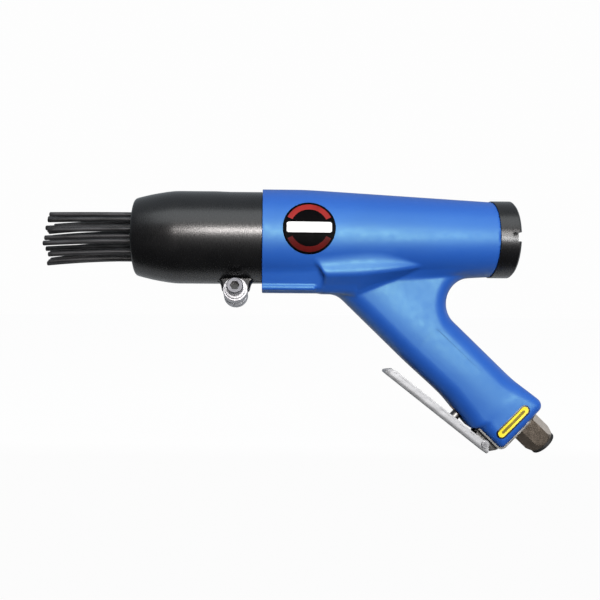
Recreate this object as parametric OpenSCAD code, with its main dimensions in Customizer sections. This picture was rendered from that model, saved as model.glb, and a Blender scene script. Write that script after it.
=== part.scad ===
// Pneumatic pistol-grip needle scaler, in millimetres.
// +X runs to the rear along the barrel axis, +Z is up, +Y points away from the photographed side.
// The origin is on the barrel axis, at the middle of the round seat on the front tube.

/* [Needles] */
// Diameter of one needle
needle_d = 3; // [2.6:0.1:3.2]
// Length of one needle with its head
needle_len = 182; // [174:1:186]
// Clearance between the outer needles and the spring
needle_gap = 1.4; // [0.8:0.1:1.8]
// Diameter of a needle's head
head_d = 4.4; // [4:0.1:4.8]
// Length of a needle's head
head_len = 3; // [2:0.5:4]
// Thickness of the needle holder
holder_len = 12; // [10:1:14]
// Stroke of the needle pack
needle_travel = 8; // [4:1:10]

/* [Front tube] */
// Outer diameter of the front tube
tube_d = 57.5; // [57:0.5:60]
// Wall of the front tube
tube_wall = 3.75; // [3:0.05:4.5]
// Length from the nose face to the tube's rear end
tube_len = 78; // [76:1:84]
// Length of the round seat behind the nose cone
seat_len = 25; // [22:1:26]
// Step down behind the seat
seat_step = 0.3; // [0.2:0.1:0.8]
// Length of the nose cone
nose_len = 24.8; // [22:0.2:26]
// Narrowing of the nose cone, on the radius
nose_taper = 4.75; // [4:0.25:6]
// Width of the nose lip
nose_lip_w = 3; // [2:0.1:4]
// Thickness of the nose lip
nose_lip = 4; // [3:0.5:5]
// Step from the tube's bore in to the spring chamber
chamber_step = 5; // [4:0.1:6]
// Thickness of the needle guide
guide_len = 6; // [5:0.5:8]
// Width of the clamp slit
slit_w = 1.5; // [1:0.1:2.5]
// Wire diameter of the needle spring
spring_wire = 2.4; // [2:0.1:2.8]
// Number of curls of the needle spring
spring_curls = 14; // [10:1:16]

/* [Clamp] */
// Diameter of a clamp lug
lug_d = 14.8; // [13.5:0.1:16]
// Length of one clamp lug
lug_len = 6.5; // [5.5:0.5:8]
// Depth that a clamp lug is sunk into the tube
lug_sink = 0.3; // [0.2:0.05:1.2]
// Turn of the clamp from straight down
clamp_turn = 17; // [0:1:40]
// Thread diameter of the clamp screw
screw_d = 6; // [5.5:0.1:6.4]
// Head diameter of the clamp screw
screw_head_d = 10; // [9.5:0.1:11]
// Head height of the clamp screw
screw_head_h = 6; // [5:0.5:7]
// Key size of the clamp screw and its nut
screw_key = 5; // [4:0.5:5.5]
// Outer diameter of the clamp washer
washer_d = 12.6; // [12:0.1:13.4]
// Thickness of the clamp washer
washer_t = 1.6; // [1:0.1:2]
// Width across flats of the clamp nut
nut_w = 10; // [9:0.5:11]
// Height of the clamp nut
nut_h = 5; // [4:0.5:6]

/* [Housing] */
// Length of the housing's barrel
house_len = 141.5; // [139:0.5:150]
// Step from the front tube out to the housing
collar_step = 1.35; // [1:0.05:2.5]
// Length of the straight front of the barrel
collar_len = 26; // [20:1:32]
// Wall at the rear of the barrel
rear_wall = 3.3; // [2.8:0.1:4.4]
// Depth of the flat keel below the barrel
keel_below = 4.1; // [3:0.1:6]
// Width of the keel
keel_w = 44; // [40:1:48]
// Edge radius of the keel
keel_round = 12; // [8:1:14]
// Length of the keel
keel_len = 46; // [44:1:50]
// Gap between the front tube and the housing
tube_gap = 0.5; // [0.3:0.1:1.5]

/* [Handle] */
// Lean of the handle below the barrel axis
handle_lean = 44; // [42:1:46]
// Distance from the housing's front to the crossing of the axes
handle_x = 37.25; // [36:0.25:40]
// Length from that crossing to the foot of the handle
handle_len = 168; // [160:1:180]
// Depth of the handle, front to back
handle_depth = 38.3; // [36:0.1:41]
// Width of the handle, side to side
handle_w = 32; // [30:0.5:35]
// Edge radius of the handle
handle_round = 10; // [8:0.5:13]
// Radius of the hollow for the web of the hand
web_r = 15.3; // [14:0.1:17]
// Width of the fairing between barrel and handle
fairing_w = 56; // [48:1:58]
// Distance from the housing's front to the fairing
fairing_x = 34; // [28:1:36]
// Drop of the fairing's ledge below the axis
fairing_drop = 14; // [11:0.5:17]
// Length of the fairing along the barrel
fairing_len = 70; // [56:1:76]
// Distance of the grip panel from the foot of the handle
panel_up = 17; // [14:1:22]
// Length of the grip panel
panel_len = 64; // [50:1:68]
// Width of the grip panel
panel_w = 16; // [14:0.5:18]
// Depth of the grip panel
panel_t = 0.4; // [0.3:0.1:0.8]
// Length of the flare at the heel of the handle
heel_len = 22; // [18:1:26]
// Flare of the heel behind the handle's back
heel_out = 3.4; // [2:0.2:4]
// Edge radius of the handle at its foot
heel_round = 4.5; // [3:0.5:8]

/* [Hammer] */
// Wall of the cylinder's front chamber
front_wall = 4; // [3:0.1:4.5]
// Step from the cylinder's front in to its rear
sleeve_step = 5; // [4:0.1:6]
// Wall of the cylinder around the piston
sleeve_wall = 7; // [6:0.1:8]
// Length of the piston
piston_len = 24; // [20:1:27]
// Free stroke of the piston
piston_travel = 18.75; // [14:0.25:22]
// Gap around the anvil's head
anvil_gap = 2; // [1:0.1:3]
// Length of the anvil's head
anvil_head_len = 9; // [7:1:11]
// Step from the piston's bore in to the anvil's shank
shank_step = 2; // [1.5:0.1:3]
// Distance of the shank's end inside its bush at full stroke
shank_in = 1.2; // [0.5:0.1:3]
// Thickness of the rubber buffer
buffer_t = 3; // [2:0.5:4]
// Length of the anvil's bush
bush_len = 10; // [8:1:13]
// Wall of the anvil's bush
bush_wall = 4; // [3:0.1:5]
// Wall of the cylinder around the valve and the plug
valve_wall = 4; // [3.4:0.1:5]
// Thickness of the valve seat
seat_t = 4.5; // [3.5:0.5:6]
// Length of the valve cap
valve_cap_len = 8; // [7:0.5:9]
// Thickness of the packing ring behind the valve
packing_t = 1; // [0.8:0.1:1.5]
// Width of the valve cap's rim around the flutter disc
disc_rim = 7; // [6:0.1:8]
// Thickness of the flutter disc
disc_t = 1.2; // [0.8:0.1:1.4]
// Lift of the flutter disc
disc_lift = 1; // [0.6:0.1:1.4]

/* [End cap] */
// Step from the barrel's rear out to the end cap
cap_step = 0.6; // [0.2:0.1:2]
// Length of the end cap behind the housing
cap_len = 12.5; // [11:0.5:15]
// Length of the cap's plug
plug_len = 9.25; // [8:0.25:11]
// Width of the spanner slot
cap_slot_w = 5.5; // [4.5:0.1:7]
// Depth of the spanner slot
cap_slot_h = 5.4; // [4.4:0.1:6]
// Reach of the spanner slot in from the rim
cap_slot_in = 6.5; // [5:0.5:8]
// Chamfer of the cap's rim
cap_chamfer = 1.2; // [0.6:0.1:2.5]

/* [Lever] */
// Distance from the hinge pin to the lever's tip
lever_len = 75; // [74:1:84]
// Width of the lever
lever_w = 16; // [15:0.5:18]
// Thickness of the lever's sheet
lever_t = 1.6; // [1.2:0.1:1.8]
// Height of the lever's side walls
lever_wall = 5.4; // [4:0.1:5.8]
// Lever opening from the line of the handle
lever_open = 6; // [5:0.5:8]
// Swing of the lever
lever_swing = 5; // [4:0.5:7.5]
// Distance of the hinge pin from the foot of the handle
hinge_up = 8; // [7:0.5:10]
// Distance of the hinge pin in front of the handle
hinge_front = 1.75; // [1.6:0.05:4]
// Diameter of the hinge pin
pin_d = 3; // [2.4:0.1:3.2]
// Thickness of the bracket's sheet
bracket_t = 1.2; // [1:0.1:1.6]
// Width of the bracket's sheet
bracket_w = 22; // [18:1:26]
// Depth of the recess for the bracket
recess = 2.75; // [2.4:0.05:3]
// Outer bend radius of the bracket
bend_r = 4.2; // [3.6:0.1:5]

/* [Throttle] */
// Distance of the throttle stem from the foot of the handle
stem_up = 31.5; // [30:0.5:40]
// Diameter of the throttle stem
stem_d = 6; // [5:0.2:6.4]
// Outer diameter of the throttle bush
throttle_bush_d = 14; // [13:0.2:15]
// Length of the throttle bush
throttle_bush_len = 12; // [11:0.5:13]
// Diameter of the throttle valve
poppet_d = 10; // [9.4:0.2:11]
// Thickness of the throttle valve
poppet_t = 3; // [2:0.5:4]
// Room for the throttle spring behind the open valve
spring_room = 8.3; // [7.5:0.1:10]
// Wire diameter of the throttle spring
throttle_wire = 1; // [0.8:0.1:1.2]
// Diameter of the air passages
passage_d = 9; // [7:0.5:10]

/* [Air inlet] */
// Width across flats of the inlet bushing
inlet_hex = 17; // [16.5:0.5:19]
// Length of the hexagon
inlet_hex_len = 16; // [9:0.2:18]
// Distance of the inlet's axis behind the middle of the handle
inlet_back = 5.5; // [4:0.25:6.5]
// Bore for the hose thread
inlet_bore_d = 11.8; // [11.4:0.1:12]
// Depth of the hose thread
inlet_bore_len = 15; // [12:0.5:17]
// Diameter of the bushing's stem
inlet_stem_d = 16; // [15.5:0.1:16.4]
// Length of the bushing's stem
inlet_stem_len = 17; // [15:0.5:19]
// Outer diameter of the seal ring
seal_d = 16.4; // [15.4:0.1:16.6]
// Thickness of the seal ring
seal_t = 2.2; // [1.5:0.1:3]
// Thickness of the gasket under the hexagon
gasket_t = 0.8; // [0.5:0.1:1.2]
// Width of the gasket around the bushing's stem
gasket_rim = 1; // [0.6:0.1:2]

/* [Plates] */
// Diameter of the round plate
badge_d = 31; // [24:1:31]
// Thickness of the round plate
badge_t = 0.5; // [0.3:0.1:0.8]
// Distance of the round plate from the housing's front
badge_x = 27.5; // [26:0.25:36]
// Height of the round plate above the axis
badge_up = 3.8; // [0:0.2:5]
// Length of the oiling label
label_len = 26; // [20:1:28]
// Width of the oiling label
label_w = 6.2; // [5:0.2:7]
// Thickness of the oiling label
label_t = 0.3; // [0.2:0.05:0.5]

/* [Hidden] */

// Running clearance of a sliding fit, on the radius
fit = 0.06;
// Clearance of a part that only has to pass
free = 0.2;
// Clearance of a seated part
seat = 0.02;
// Clearance at each end of the flutter disc's lift
lift_gap = 0.1;
// How far a cutting shape reaches past the face that it opens
over = 1;

// Diameters from the front tube inwards
spigot_d = tube_d - 2 * tube_wall;
chamber_d = spigot_d - 2 * chamber_step;
nose_d = tube_d - 2 * nose_taper;
nose_open_d = chamber_d - 2 * nose_lip_w;
front_bore_d = spigot_d - 2 * front_wall;
sleeve_d = spigot_d - 2 * sleeve_step;
piston_d = sleeve_d - 2 * sleeve_wall;
shank_d = piston_d - 2 * shank_step;
bush_d = shank_d + 2 * bush_wall;
anvil_d = front_bore_d - 2 * anvil_gap;
valve_bore_d = sleeve_d - 2 * valve_wall;
disc_d = valve_bore_d - 2 * disc_rim;
rear_d = sleeve_d + 2 * rear_wall;
cap_d = rear_d + 2 * cap_step;
// Gap between the needle spring and the wall of its chamber
spring_side = 0.6;
// Distance from one ring of needles to the next
ring_pitch = (chamber_d / 2 - spring_side - spring_wire - needle_gap - needle_d / 2) / 2;

// Places along the front tube
x_cone = -seat_len / 2;
x_seat_end = seat_len / 2;
x_nose = x_cone - nose_len;
x_lip = x_nose + nose_lip;
x_guide = x_lip + guide_len;
shoulder_back = 2.5;
x_shoulder = x_cone + shoulder_back;
x_tube_end = x_nose + tube_len;
clamp_back = 15.5;
x_clamp = x_tube_end - clamp_back;
slit_len = 33;
lug_reach = tube_d / 2 + lug_d / 2 - lug_sink;

// Places along the housing, from its rear forwards to the needles
x_house = x_tube_end + tube_gap;
x_rear = x_house + house_len;
x_plug = x_rear - plug_len;
x_valve_cap = x_plug - packing_t - valve_cap_len;
x_valve_seat = x_valve_cap - seat_t;
piston_rest = 0.3;
x_piston_back = x_valve_seat - piston_rest;
x_piston = x_piston_back - piston_len;
x_shank_end = x_piston - piston_travel;
shank_len = buffer_t + free + bush_len + needle_travel - shank_in;
x_shank = x_shank_end - shank_len;
x_anvil = x_shank - anvil_head_len;
x_heads_back = x_anvil - free;
x_heads_front = x_heads_back - head_len;
x_holder = x_heads_front - holder_len;
x_tip = x_heads_back - needle_len;
x_floor = x_shank + buffer_t + free;
x_bush_end = x_floor + bush_len;
floor_t = 4;
x_step = x_floor + floor_t;
sleeve_front_gap = 5;
x_sleeve = x_shoulder + sleeve_front_gap;
sleeve_rear_gap = 1.75;
x_sleeve_end = x_rear - sleeve_rear_gap;

// The barrel's outside
collar_r = tube_d / 2 + collar_step;
rear_r = rear_d / 2;
keel_drop = collar_r + keel_below;
edge = 0.8;

// The handle's own frame: along its axis, and square to it towards the rear
x_cross = x_house + handle_x;
front = -handle_depth / 2;
recess_at = front + recess;
foot = handle_len;
stem_at = foot - stem_up;
hinge_at = foot - hinge_up;
hinge_drop = front - hinge_front;
handle_start = 20;
panel_start = foot - panel_up - panel_len;
panel_round = 4;
label_up = 8.3;
label_at = foot - label_up;

// The bracket and the lever
bracket_face = recess_at - bracket_t;
// Distance of the bracket's upper end from the throttle bush
bracket_clear = 6;
bracket_top = stem_up - throttle_bush_d / 2 - bracket_clear;
ear_gap = 0.2;
ear_out = lever_w / 2 - lever_t - ear_gap;
ear_wall = 0.7;
ear_r = pin_d / 2 + ear_wall;
ear_base = 8;
ear_run = 7.5;
ear_slant = 2;
eye_rim = 3;
bracket_eye_d = inlet_stem_d + 2 * eye_rim;
// Depth of the lever's floor below its hinge pin
floor_below = 2.5;
lever_floor = -(pin_d / 2 + floor_below);
lever_inside = lever_floor + lever_t;
lever_eye_wall = 1.3;
lever_eye_r = pin_d / 2 + lever_eye_wall;
lever_tail = 4.5;
tip_len = 3.8;
pin_head_d = 5;
pin_head_t = 0.8;

// The throttle
lever_gap = 0.1;
dome_r = stem_d / 2;
stem_reach = hinge_at - stem_at;
// Height of the dome's centre where it just clears the resting lever
dome_at = hinge_drop + (dome_r + lever_gap + lever_inside - stem_reach * sin(lever_open)) / cos(lever_open);
stem_travel = stem_reach * tan(lever_swing);
bush_in = 1;
bush_front = front + bush_in;
bush_back = bush_front + throttle_bush_len;
guide_part = 5;
// Width of the air gap around the stem's neck
neck_gap = 2;
flow_d = stem_d + neck_gap;
neck_d = stem_d - neck_gap;
poppet_gap = 0.3;
poppet_front = bush_back + poppet_gap;
poppet_back = poppet_front + poppet_t;
valve_end = poppet_back + stem_travel + spring_room;
stem_seal_wire = 1.4;
seal_back = 2.6;
seal_groove_w = 1.6;

// The inlet
gasket_at = foot + bracket_t;
hex_at = gasket_at + gasket_t;
hex_end = hex_at + inlet_hex_len;
inlet_end = foot - inlet_stem_len;
inlet_through_d = 8.6;
screen_d = 10.4;
screen_t = 1.2;

function needle_name(i) = str("needle_", i < 10 ? "0" : "", i);

// Needle 1 is in the middle, 2 to 7 are the inner ring and 8 to 19 are the outer ring
function needle_place(i) =
    i == 1 ? [0, 0] :
    i <= 7 ? ring_pitch * [cos(60 * i), sin(60 * i)] :
    2 * ring_pitch * [cos(30 * i + 15), sin(30 * i + 15)];

// Radius of the barrel's outside at a place along the axis
function barrel_r(x) =
    x < x_house + collar_len ? collar_r :
    collar_r + (rear_r - collar_r) * (x - x_house - collar_len) / (house_len - collar_len);

// Points of a straight spring's middle line, with flat end curls
function coil(r, len, wire, curls, rings) =
    let (steps = curls * rings)
    [for (k = [0 : steps])
        let (turn = k / rings,
             lead = max(0, min(1, (turn - 1) / (curls - 2))),
             ends = wire * 1.5,
             rise = wire / 2 + (turn < 1 ? turn * ends :
                    turn > curls - 1 ? len - wire - (curls - turn) * ends :
                    ends + lead * (len - wire - 2 * ends)))
        [r * cos(360 * turn), r * sin(360 * turn), rise]];

// Least distance between a spring's neighbouring curls, less the wire
function coil_gap(p, wire, rings) =
    min([for (k = [0 : len(p) - 1 - rings]) norm(p[k + rings] - p[k])]) - wire;

module spring(p, wire, rings) {
    sides = 6;
    last = len(p) - 1;
    points = [for (k = [0 : last])
        let (ahead = p[min(k + 1, last)] - p[max(k - 1, 0)],
             along = ahead / norm(ahead),
             out = [p[k][0], p[k][1], 0] / norm([p[k][0], p[k][1]]),
             up = cross(along, out))
        for (s = [0 : sides - 1])
            p[k] + wire / 2 * (cos(360 * s / sides) * out + sin(360 * s / sides) * up)];
    faces = concat(
        [for (s = [1 : sides - 2]) [0, s, s + 1]],
        [for (s = [1 : sides - 2]) [last * sides, last * sides + s + 1, last * sides + s]],
        [for (k = [0 : last - 1])
            for (s = [0 : sides - 1])
                [k * sides + s, (k + 1) * sides + s, k * sides + (s + 1) % sides]],
        [for (k = [0 : last - 1])
            for (s = [0 : sides - 1])
                [k * sides + (s + 1) % sides, (k + 1) * sides + s, (k + 1) * sides + (s + 1) % sides]]
    );
    polyhedron(points, faces);
}

// A round bar along the barrel axis
module bar(x0, x1, d) {
    translate([x0, 0, 0])
    rotate([0, 90, 0])
    cylinder(d = d, h = x1 - x0, $fn = 96);
}

module ring(x0, x1, d, hole) {
    difference() {
        bar(x0, x1, d);
        bar(x0 - over, x1 + over, hole);
    }
}

// Turns a profile of [radius, place along the axis] about the barrel axis
module turned(points) {
    rotate([0, 90, 0])
    rotate_extrude($fn = 96)
    polygon(points);
}

module in_handle() {
    translate([x_cross, 0, 0])
    rotate([0, handle_lean, 0])
    children();
}

// The inlet's frame: the handle's, with its axis moved back
module in_inlet() {
    in_handle()
    translate([0, 0, inlet_back])
    children();
}

// A bar along the handle's axis, at a place square to it
module handle_bar(t0, t1, d, at = 0) {
    translate([t0, 0, at])
    rotate([0, 90, 0])
    cylinder(d = d, h = t1 - t0, $fn = 64);
}

// A bar square to the handle's axis, from the front towards the rear
module cross_bar(n0, n1, d, at = stem_at) {
    translate([at, 0, n0])
    cylinder(d = d, h = n1 - n0, $fn = 64);
}

// A bar from side to side, given in the handle's frame
module side_bar(t, n, d, w) {
    translate([t, w / 2, n])
    rotate([90, 0, 0])
    cylinder(d = d, h = w, $fn = 48);
}

// An outline in the handle's plane, given the width from side to side
module side_plate(w) {
    translate([0, w / 2, 0])
    rotate([90, 0, 0])
    linear_extrude(w)
    children();
}

module rounded(w, h, r) {
    square([w - 2 * r, h], center = true);
    square([w, h - 2 * r], center = true);
    for (x = [-1, 1]) {
        for (y = [-1, 1]) {
            translate([x * (w / 2 - r), y * (h / 2 - r)])
            circle(r, $fn = 64);
        }
    }
}

// The handle's cross-section swept along its axis, grown by a margin
module handle_prism(t0, t1, grow = 0) {
    translate([t0, 0, 0])
    rotate([0, 90, 0])
    linear_extrude(t1 - t0)
    rounded(handle_depth + 2 * grow, handle_w + 2 * grow, handle_round + grow);
}

module keel() {
    start = x_house;
    top = -10;
    translate([start, 0, 0])
    rotate([90, 0, 90])
    linear_extrude(keel_len)
    union() {
        translate([-keel_w / 2, -keel_drop + keel_round])
        square([keel_w, keel_drop - keel_round + top]);
        translate([-keel_w / 2 + keel_round, -keel_drop])
        square([keel_w - 2 * keel_round, keel_drop + top]);
        for (side = [-1, 1]) {
            translate([side * (keel_w / 2 - keel_round), -keel_drop + keel_round])
            circle(keel_round, $fn = 64);
        }
    }
}

// Wide shoulder between the barrel and the handle: sections of six corners that narrow and rise to the rear
module fairing() {
    shelf_t = 7.8;
    roof = 8;
    lean_in = 0.16;
    narrowing = 8;
    rise = 7.2;
    keel_in = 0.8;
    foot_in = 0.4;
    foot_flat = 0.35;
    foot_rise = 17;
    start = x_house + fairing_x;
    shares = [0, foot_flat, 0.6, 0.8, 1];
    last = len(shares) - 1;
    corners = 6;
    points = [for (s = shares)
        let (half = fairing_w / 2 - narrowing * s * (0.25 + 0.75 * s),
             edge_z = -fairing_drop - shelf_t + rise * s * (1 + 2 * s) / 3,
             low = -keel_drop + keel_in + foot_rise * max(0, s - foot_flat) / (1 - foot_flat),
             top_half = half + lean_in * (roof + edge_z),
             low_half = handle_w / 2 - foot_in)
        for (p = [[-top_half, -roof], [top_half, -roof], [half, edge_z],
                  [low_half, low], [-low_half, low], [-half, edge_z]])
            [start + s * fairing_len, p[0], p[1]]];
    faces = concat(
        [for (c = [1 : corners - 2]) [0, c + 1, c]],
        [for (c = [1 : corners - 2]) [last * corners, last * corners + c, last * corners + c + 1]],
        [for (k = [0 : last - 1])
            for (c = [0 : corners - 1])
                [k * corners + c, k * corners + (c + 1) % corners, (k + 1) * corners + (c + 1) % corners]],
        [for (k = [0 : last - 1])
            for (c = [0 : corners - 1])
                [k * corners + c, (k + 1) * corners + (c + 1) % corners, (k + 1) * corners + c]]
    );
    polyhedron(points, faces);
}

// Saddle that rounds off the corner between the barrel's underside and the handle's back
module web() {
    web_in = 0.3;
    depth = handle_round + 8;
    half = handle_w / 2 - web_in;
    corner_x = (collar_r + web_r) / sin(handle_lean);
    web_z = -barrel_r(x_cross + corner_x) - web_r + web_in;
    back = handle_depth / 2 + web_r - web_in;
    web_x = x_cross + (back - web_z * cos(handle_lean)) / sin(handle_lean);
    translate([web_x, 0, web_z])
    rotate([90, 0, 0])
    rotate([0, 0, 90])
    rotate_extrude(angle = 180 - handle_lean, $fn = 96)
    union() {
        translate([web_r, handle_round - half])
        square([depth, 2 * (half - handle_round)]);
        translate([web_r + handle_round, -half])
        square([depth - handle_round, 2 * half]);
        for (side = [-1, 1]) {
            translate([web_r + handle_round, side * (half - handle_round)])
            circle(handle_round, $fn = 64);
        }
    }
}

// Shallow panel in one side of the handle
module grip_panel(side) {
    in_handle()
    translate([panel_start + panel_len / 2, side * (handle_w - panel_t + over) / 2, 0])
    rotate([90, 0, 0])
    linear_extrude(panel_t + over, center = true)
    rounded(panel_len, panel_w, panel_round);
}

// Squarer foot of the handle, with the flare of its back, grown by a margin
module heel(grow = 0) {
    slice = 0.5;
    heel_in = 1.2;
    foot_in = 0.55;
    hull() {
        handle_prism(foot - heel_len, foot - heel_len + slice, grow - heel_in);
        translate([foot - slice, 0, (heel_out + foot_in) / 2])
        rotate([0, 90, 0])
        linear_extrude(slice)
        rounded(handle_depth + heel_out - foot_in + 2 * grow, handle_w - 2 * foot_in + 2 * grow,
                heel_round + grow);
    }
}

// Recess in the handle's front for the bracket, with its rounded foot corner
module bracket_recess() {
    end_gap = 3;
    top = foot - bracket_top - end_gap;
    inner_r = bend_r - bracket_t;
    side_plate(handle_w + 2 * over)
    union() {
        translate([top, front - over])
        square([foot - top + over, recess + over]);
        difference() {
            translate([foot - inner_r, recess_at - over])
            square([inner_r + over, inner_r + over]);
            translate([foot - inner_r, recess_at + inner_r])
            circle(inner_r, $fn = 64);
        }
    }
}

// Air passage from the throttle bush up to the groove under the cylinder
module upper_passage() {
    bush_cut = 3;
    narrower = 2;
    bottom = [stem_at - throttle_bush_d / 2, bush_back - bush_cut];
    top_x = x_step + passage_d;
    top_z = -sleeve_d / 2;
    top = [(top_x - x_cross) * cos(handle_lean) - top_z * sin(handle_lean),
           (top_x - x_cross) * sin(handle_lean) + top_z * cos(handle_lean)];
    run = top - bottom;
    in_handle()
    translate([bottom[0], 0, bottom[1]])
    rotate([0, atan2(run[0], run[1]), 0])
    translate([0, 0, -bush_cut])
    cylinder(d = passage_d - narrower, h = norm(run) + bush_cut, $fn = 48);
}

module housing() {
    passage_back = inlet_back / 2 + 1;
    color([0.13, 0.31, 0.68])
    difference() {
        union() {
            turned([[0, x_house], [collar_r - edge, x_house], [collar_r, x_house + edge],
                    [collar_r, x_house + collar_len], [rear_r, x_rear], [0, x_rear]]);
            keel();
            fairing();
            web();
            in_handle()
            heel();
            in_handle()
            handle_prism(handle_start, foot);
        }
        for (side = [-1, 1]) {
            grip_panel(side);
        }
        bar(x_house - over, x_step, spigot_d);
        bar(x_step - over, x_rear + over, sleeve_d);
        upper_passage();
        in_handle() {
            bracket_recess();
            handle_bar(inlet_end, foot + over, inlet_stem_d, at = inlet_back);
            handle_bar(stem_at, inlet_end + over, passage_d, at = passage_back);
            cross_bar(front - over, valve_end, throttle_bush_d);
        }
    }
}

module cylinder_sleeve() {
    groove_w = 8;
    groove_h = 3;
    groove_front = 2;
    groove_back = 12;
    port_d = 4;
    port_back = 4;
    color([0.62, 0.63, 0.65])
    difference() {
        turned([[0, x_sleeve], [spigot_d / 2 - fit - edge, x_sleeve], [spigot_d / 2 - fit, x_sleeve + edge],
                [spigot_d / 2 - fit, x_step - seat], [sleeve_d / 2 - fit, x_step - seat],
                [sleeve_d / 2 - fit, x_sleeve_end], [0, x_sleeve_end]]);
        bar(x_sleeve - over, x_floor, front_bore_d);
        bar(x_floor - over, x_bush_end, bush_d);
        bar(x_bush_end - over, x_valve_seat + over, piston_d);
        bar(x_valve_seat, x_sleeve_end + over, valve_bore_d);
        translate([x_step + groove_front, -groove_w / 2, -sleeve_d / 2 - over])
        cube([x_sleeve_end - groove_back - x_step, groove_w, groove_h + over]);
        for (turn = [60, 120, 240, 300]) {
            rotate([turn, 0, 0])
            translate([x_shank_end + port_back, 0, 0])
            cylinder(d = port_d, h = sleeve_d, $fn = 32);
        }
    }
}

module anvil_bush() {
    color([0.72, 0.55, 0.28])
    ring(x_floor + seat, x_bush_end - seat, bush_d - 2 * seat, shank_d + 2 * fit);
}

module anvil_buffer() {
    hole_gap = 2;
    hole = shank_d + 2 * hole_gap;
    color([0.1, 0.1, 0.1])
    ring(x_floor - buffer_t, x_floor, front_bore_d - 2 * free, hole);
}

module anvil() {
    color([0.5, 0.5, 0.52])
    turned([[0, x_anvil], [anvil_d / 2 - edge, x_anvil], [anvil_d / 2, x_anvil + edge],
            [anvil_d / 2, x_shank], [shank_d / 2, x_shank], [shank_d / 2, x_shank_end - edge],
            [shank_d / 2 - edge, x_shank_end], [0, x_shank_end]]);
}

module piston() {
    r = piston_d / 2 - fit;
    groove = 1;
    color([0.66, 0.67, 0.69])
    difference() {
        turned([[0, x_piston], [r - edge, x_piston], [r, x_piston + edge],
                [r, x_piston_back - edge], [r - edge, x_piston_back], [0, x_piston_back]]);
        for (step = [1 : 3]) {
            at = x_piston + step * piston_len / 4;
            ring(at - groove / 2, at + groove / 2, piston_d + 2 * over, piston_d - 2 * groove);
        }
    }
}

module valve_seat() {
    ports = 6;
    middle_d = 6;
    land = disc_d / 2 - middle_d / 2;
    port_d = land / 2;
    color([0.6, 0.6, 0.62])
    difference() {
        bar(x_valve_seat + seat, x_valve_cap, valve_bore_d - 2 * seat);
        bar(x_valve_seat - over, x_valve_cap + over, middle_d);
        for (k = [0 : ports - 1]) {
            rotate([360 / ports * k, 0, 0])
            translate([0, (middle_d + land) / 2, 0])
            bar(x_valve_seat - over, x_valve_cap + over, port_d);
        }
    }
}

module valve_disc() {
    color([0.45, 0.46, 0.5])
    bar(x_valve_cap + lift_gap, x_valve_cap + lift_gap + disc_t, disc_d);
}

module valve_cap() {
    cavity = disc_t + disc_lift + 2 * lift_gap;
    disc_gap = 0.6;
    hole = 6;
    back = x_valve_cap + valve_cap_len;
    color([0.6, 0.6, 0.62])
    difference() {
        bar(x_valve_cap, back, valve_bore_d - 2 * seat);
        bar(x_valve_cap - over, x_valve_cap + cavity, disc_d + 2 * disc_gap);
        bar(x_valve_cap, back + over, hole);
        for (turn = [0, 180]) {
            rotate([turn, 0, 0])
            translate([back - hole / 2, 0, 0])
            cylinder(d = hole / 2, h = valve_bore_d, $fn = 32);
        }
    }
}

module valve_packing() {
    rim = 4;
    color([0.72, 0.45, 0.25])
    ring(x_plug - packing_t, x_plug, valve_bore_d - 2 * free, valve_bore_d - 2 * rim);
}

module end_cap() {
    r = cap_d / 2;
    hollow_wall = 5;
    hollow_len = 4;
    color([0.06, 0.06, 0.07])
    difference() {
        turned([[0, x_plug], [valve_bore_d / 2 - fit, x_plug], [valve_bore_d / 2 - fit, x_rear],
                [r, x_rear], [r, x_rear + cap_len - cap_chamfer],
                [r - cap_chamfer, x_rear + cap_len], [0, x_rear + cap_len]]);
        difference() {
            translate([x_rear + cap_len - cap_slot_h, -cap_d, -cap_slot_w / 2])
            cube([cap_slot_h + over, 2 * cap_d, cap_slot_w]);
            bar(x_rear, x_rear + cap_len + 2 * over, cap_d - 2 * cap_slot_in);
        }
        bar(x_plug - over, x_plug + hollow_len, valve_bore_d - 2 * hollow_wall);
    }
}

module end_cap_seal() {
    squeeze = 0.1;
    side_gap = 0.3;
    wire = sleeve_rear_gap - squeeze;
    mean_r = valve_bore_d / 2 + wire / 2 + side_gap;
    color([0.08, 0.08, 0.08])
    translate([x_rear - sleeve_rear_gap / 2, 0, 0])
    rotate([0, 90, 0])
    rotate_extrude($fn = 64)
    translate([mean_r, 0])
    circle(d = wire, $fn = 24);
}

// Holes of the needle pattern through a disc along the axis
module needle_holes(x0, x1) {
    for (i = [1 : 19]) {
        translate([0, needle_place(i)[0], needle_place(i)[1]])
        bar(x0 - over, x1 + over, needle_d + 2 * free);
    }
}

module needle_holder() {
    color([0.4, 0.41, 0.43])
    difference() {
        bar(x_holder, x_heads_front, front_bore_d - 2 * fit);
        needle_holes(x_holder, x_heads_front);
    }
}

module needle(i) {
    tip_edge = 0.35;
    color([0.09, 0.09, 0.1])
    translate([0, needle_place(i)[0], needle_place(i)[1]])
    rotate([0, 90, 0])
    rotate_extrude($fn = 32)
    polygon([[0, x_tip], [needle_d / 2 - tip_edge, x_tip], [needle_d / 2, x_tip + tip_edge],
             [needle_d / 2, x_heads_front], [head_d / 2, x_heads_front],
             [head_d / 2, x_heads_back], [0, x_heads_back]]);
}

spring_rings = 8;
spring_space = 0.15;
needle_coil = coil((chamber_d - spring_wire) / 2 - spring_side, x_holder - x_guide - 2 * spring_space,
                   spring_wire, spring_curls, spring_rings);
echo(needle_spring_gap = coil_gap(needle_coil, spring_wire, spring_rings));

module needle_spring() {
    color([0.55, 0.56, 0.58])
    translate([x_guide + spring_space, 0, 0])
    rotate([0, 90, 0])
    spring(needle_coil, spring_wire, spring_rings);
}

module needle_guide() {
    color([0.3, 0.31, 0.33])
    difference() {
        bar(x_lip, x_guide, chamber_d - 2 * seat);
        needle_holes(x_lip, x_guide);
    }
}

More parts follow.
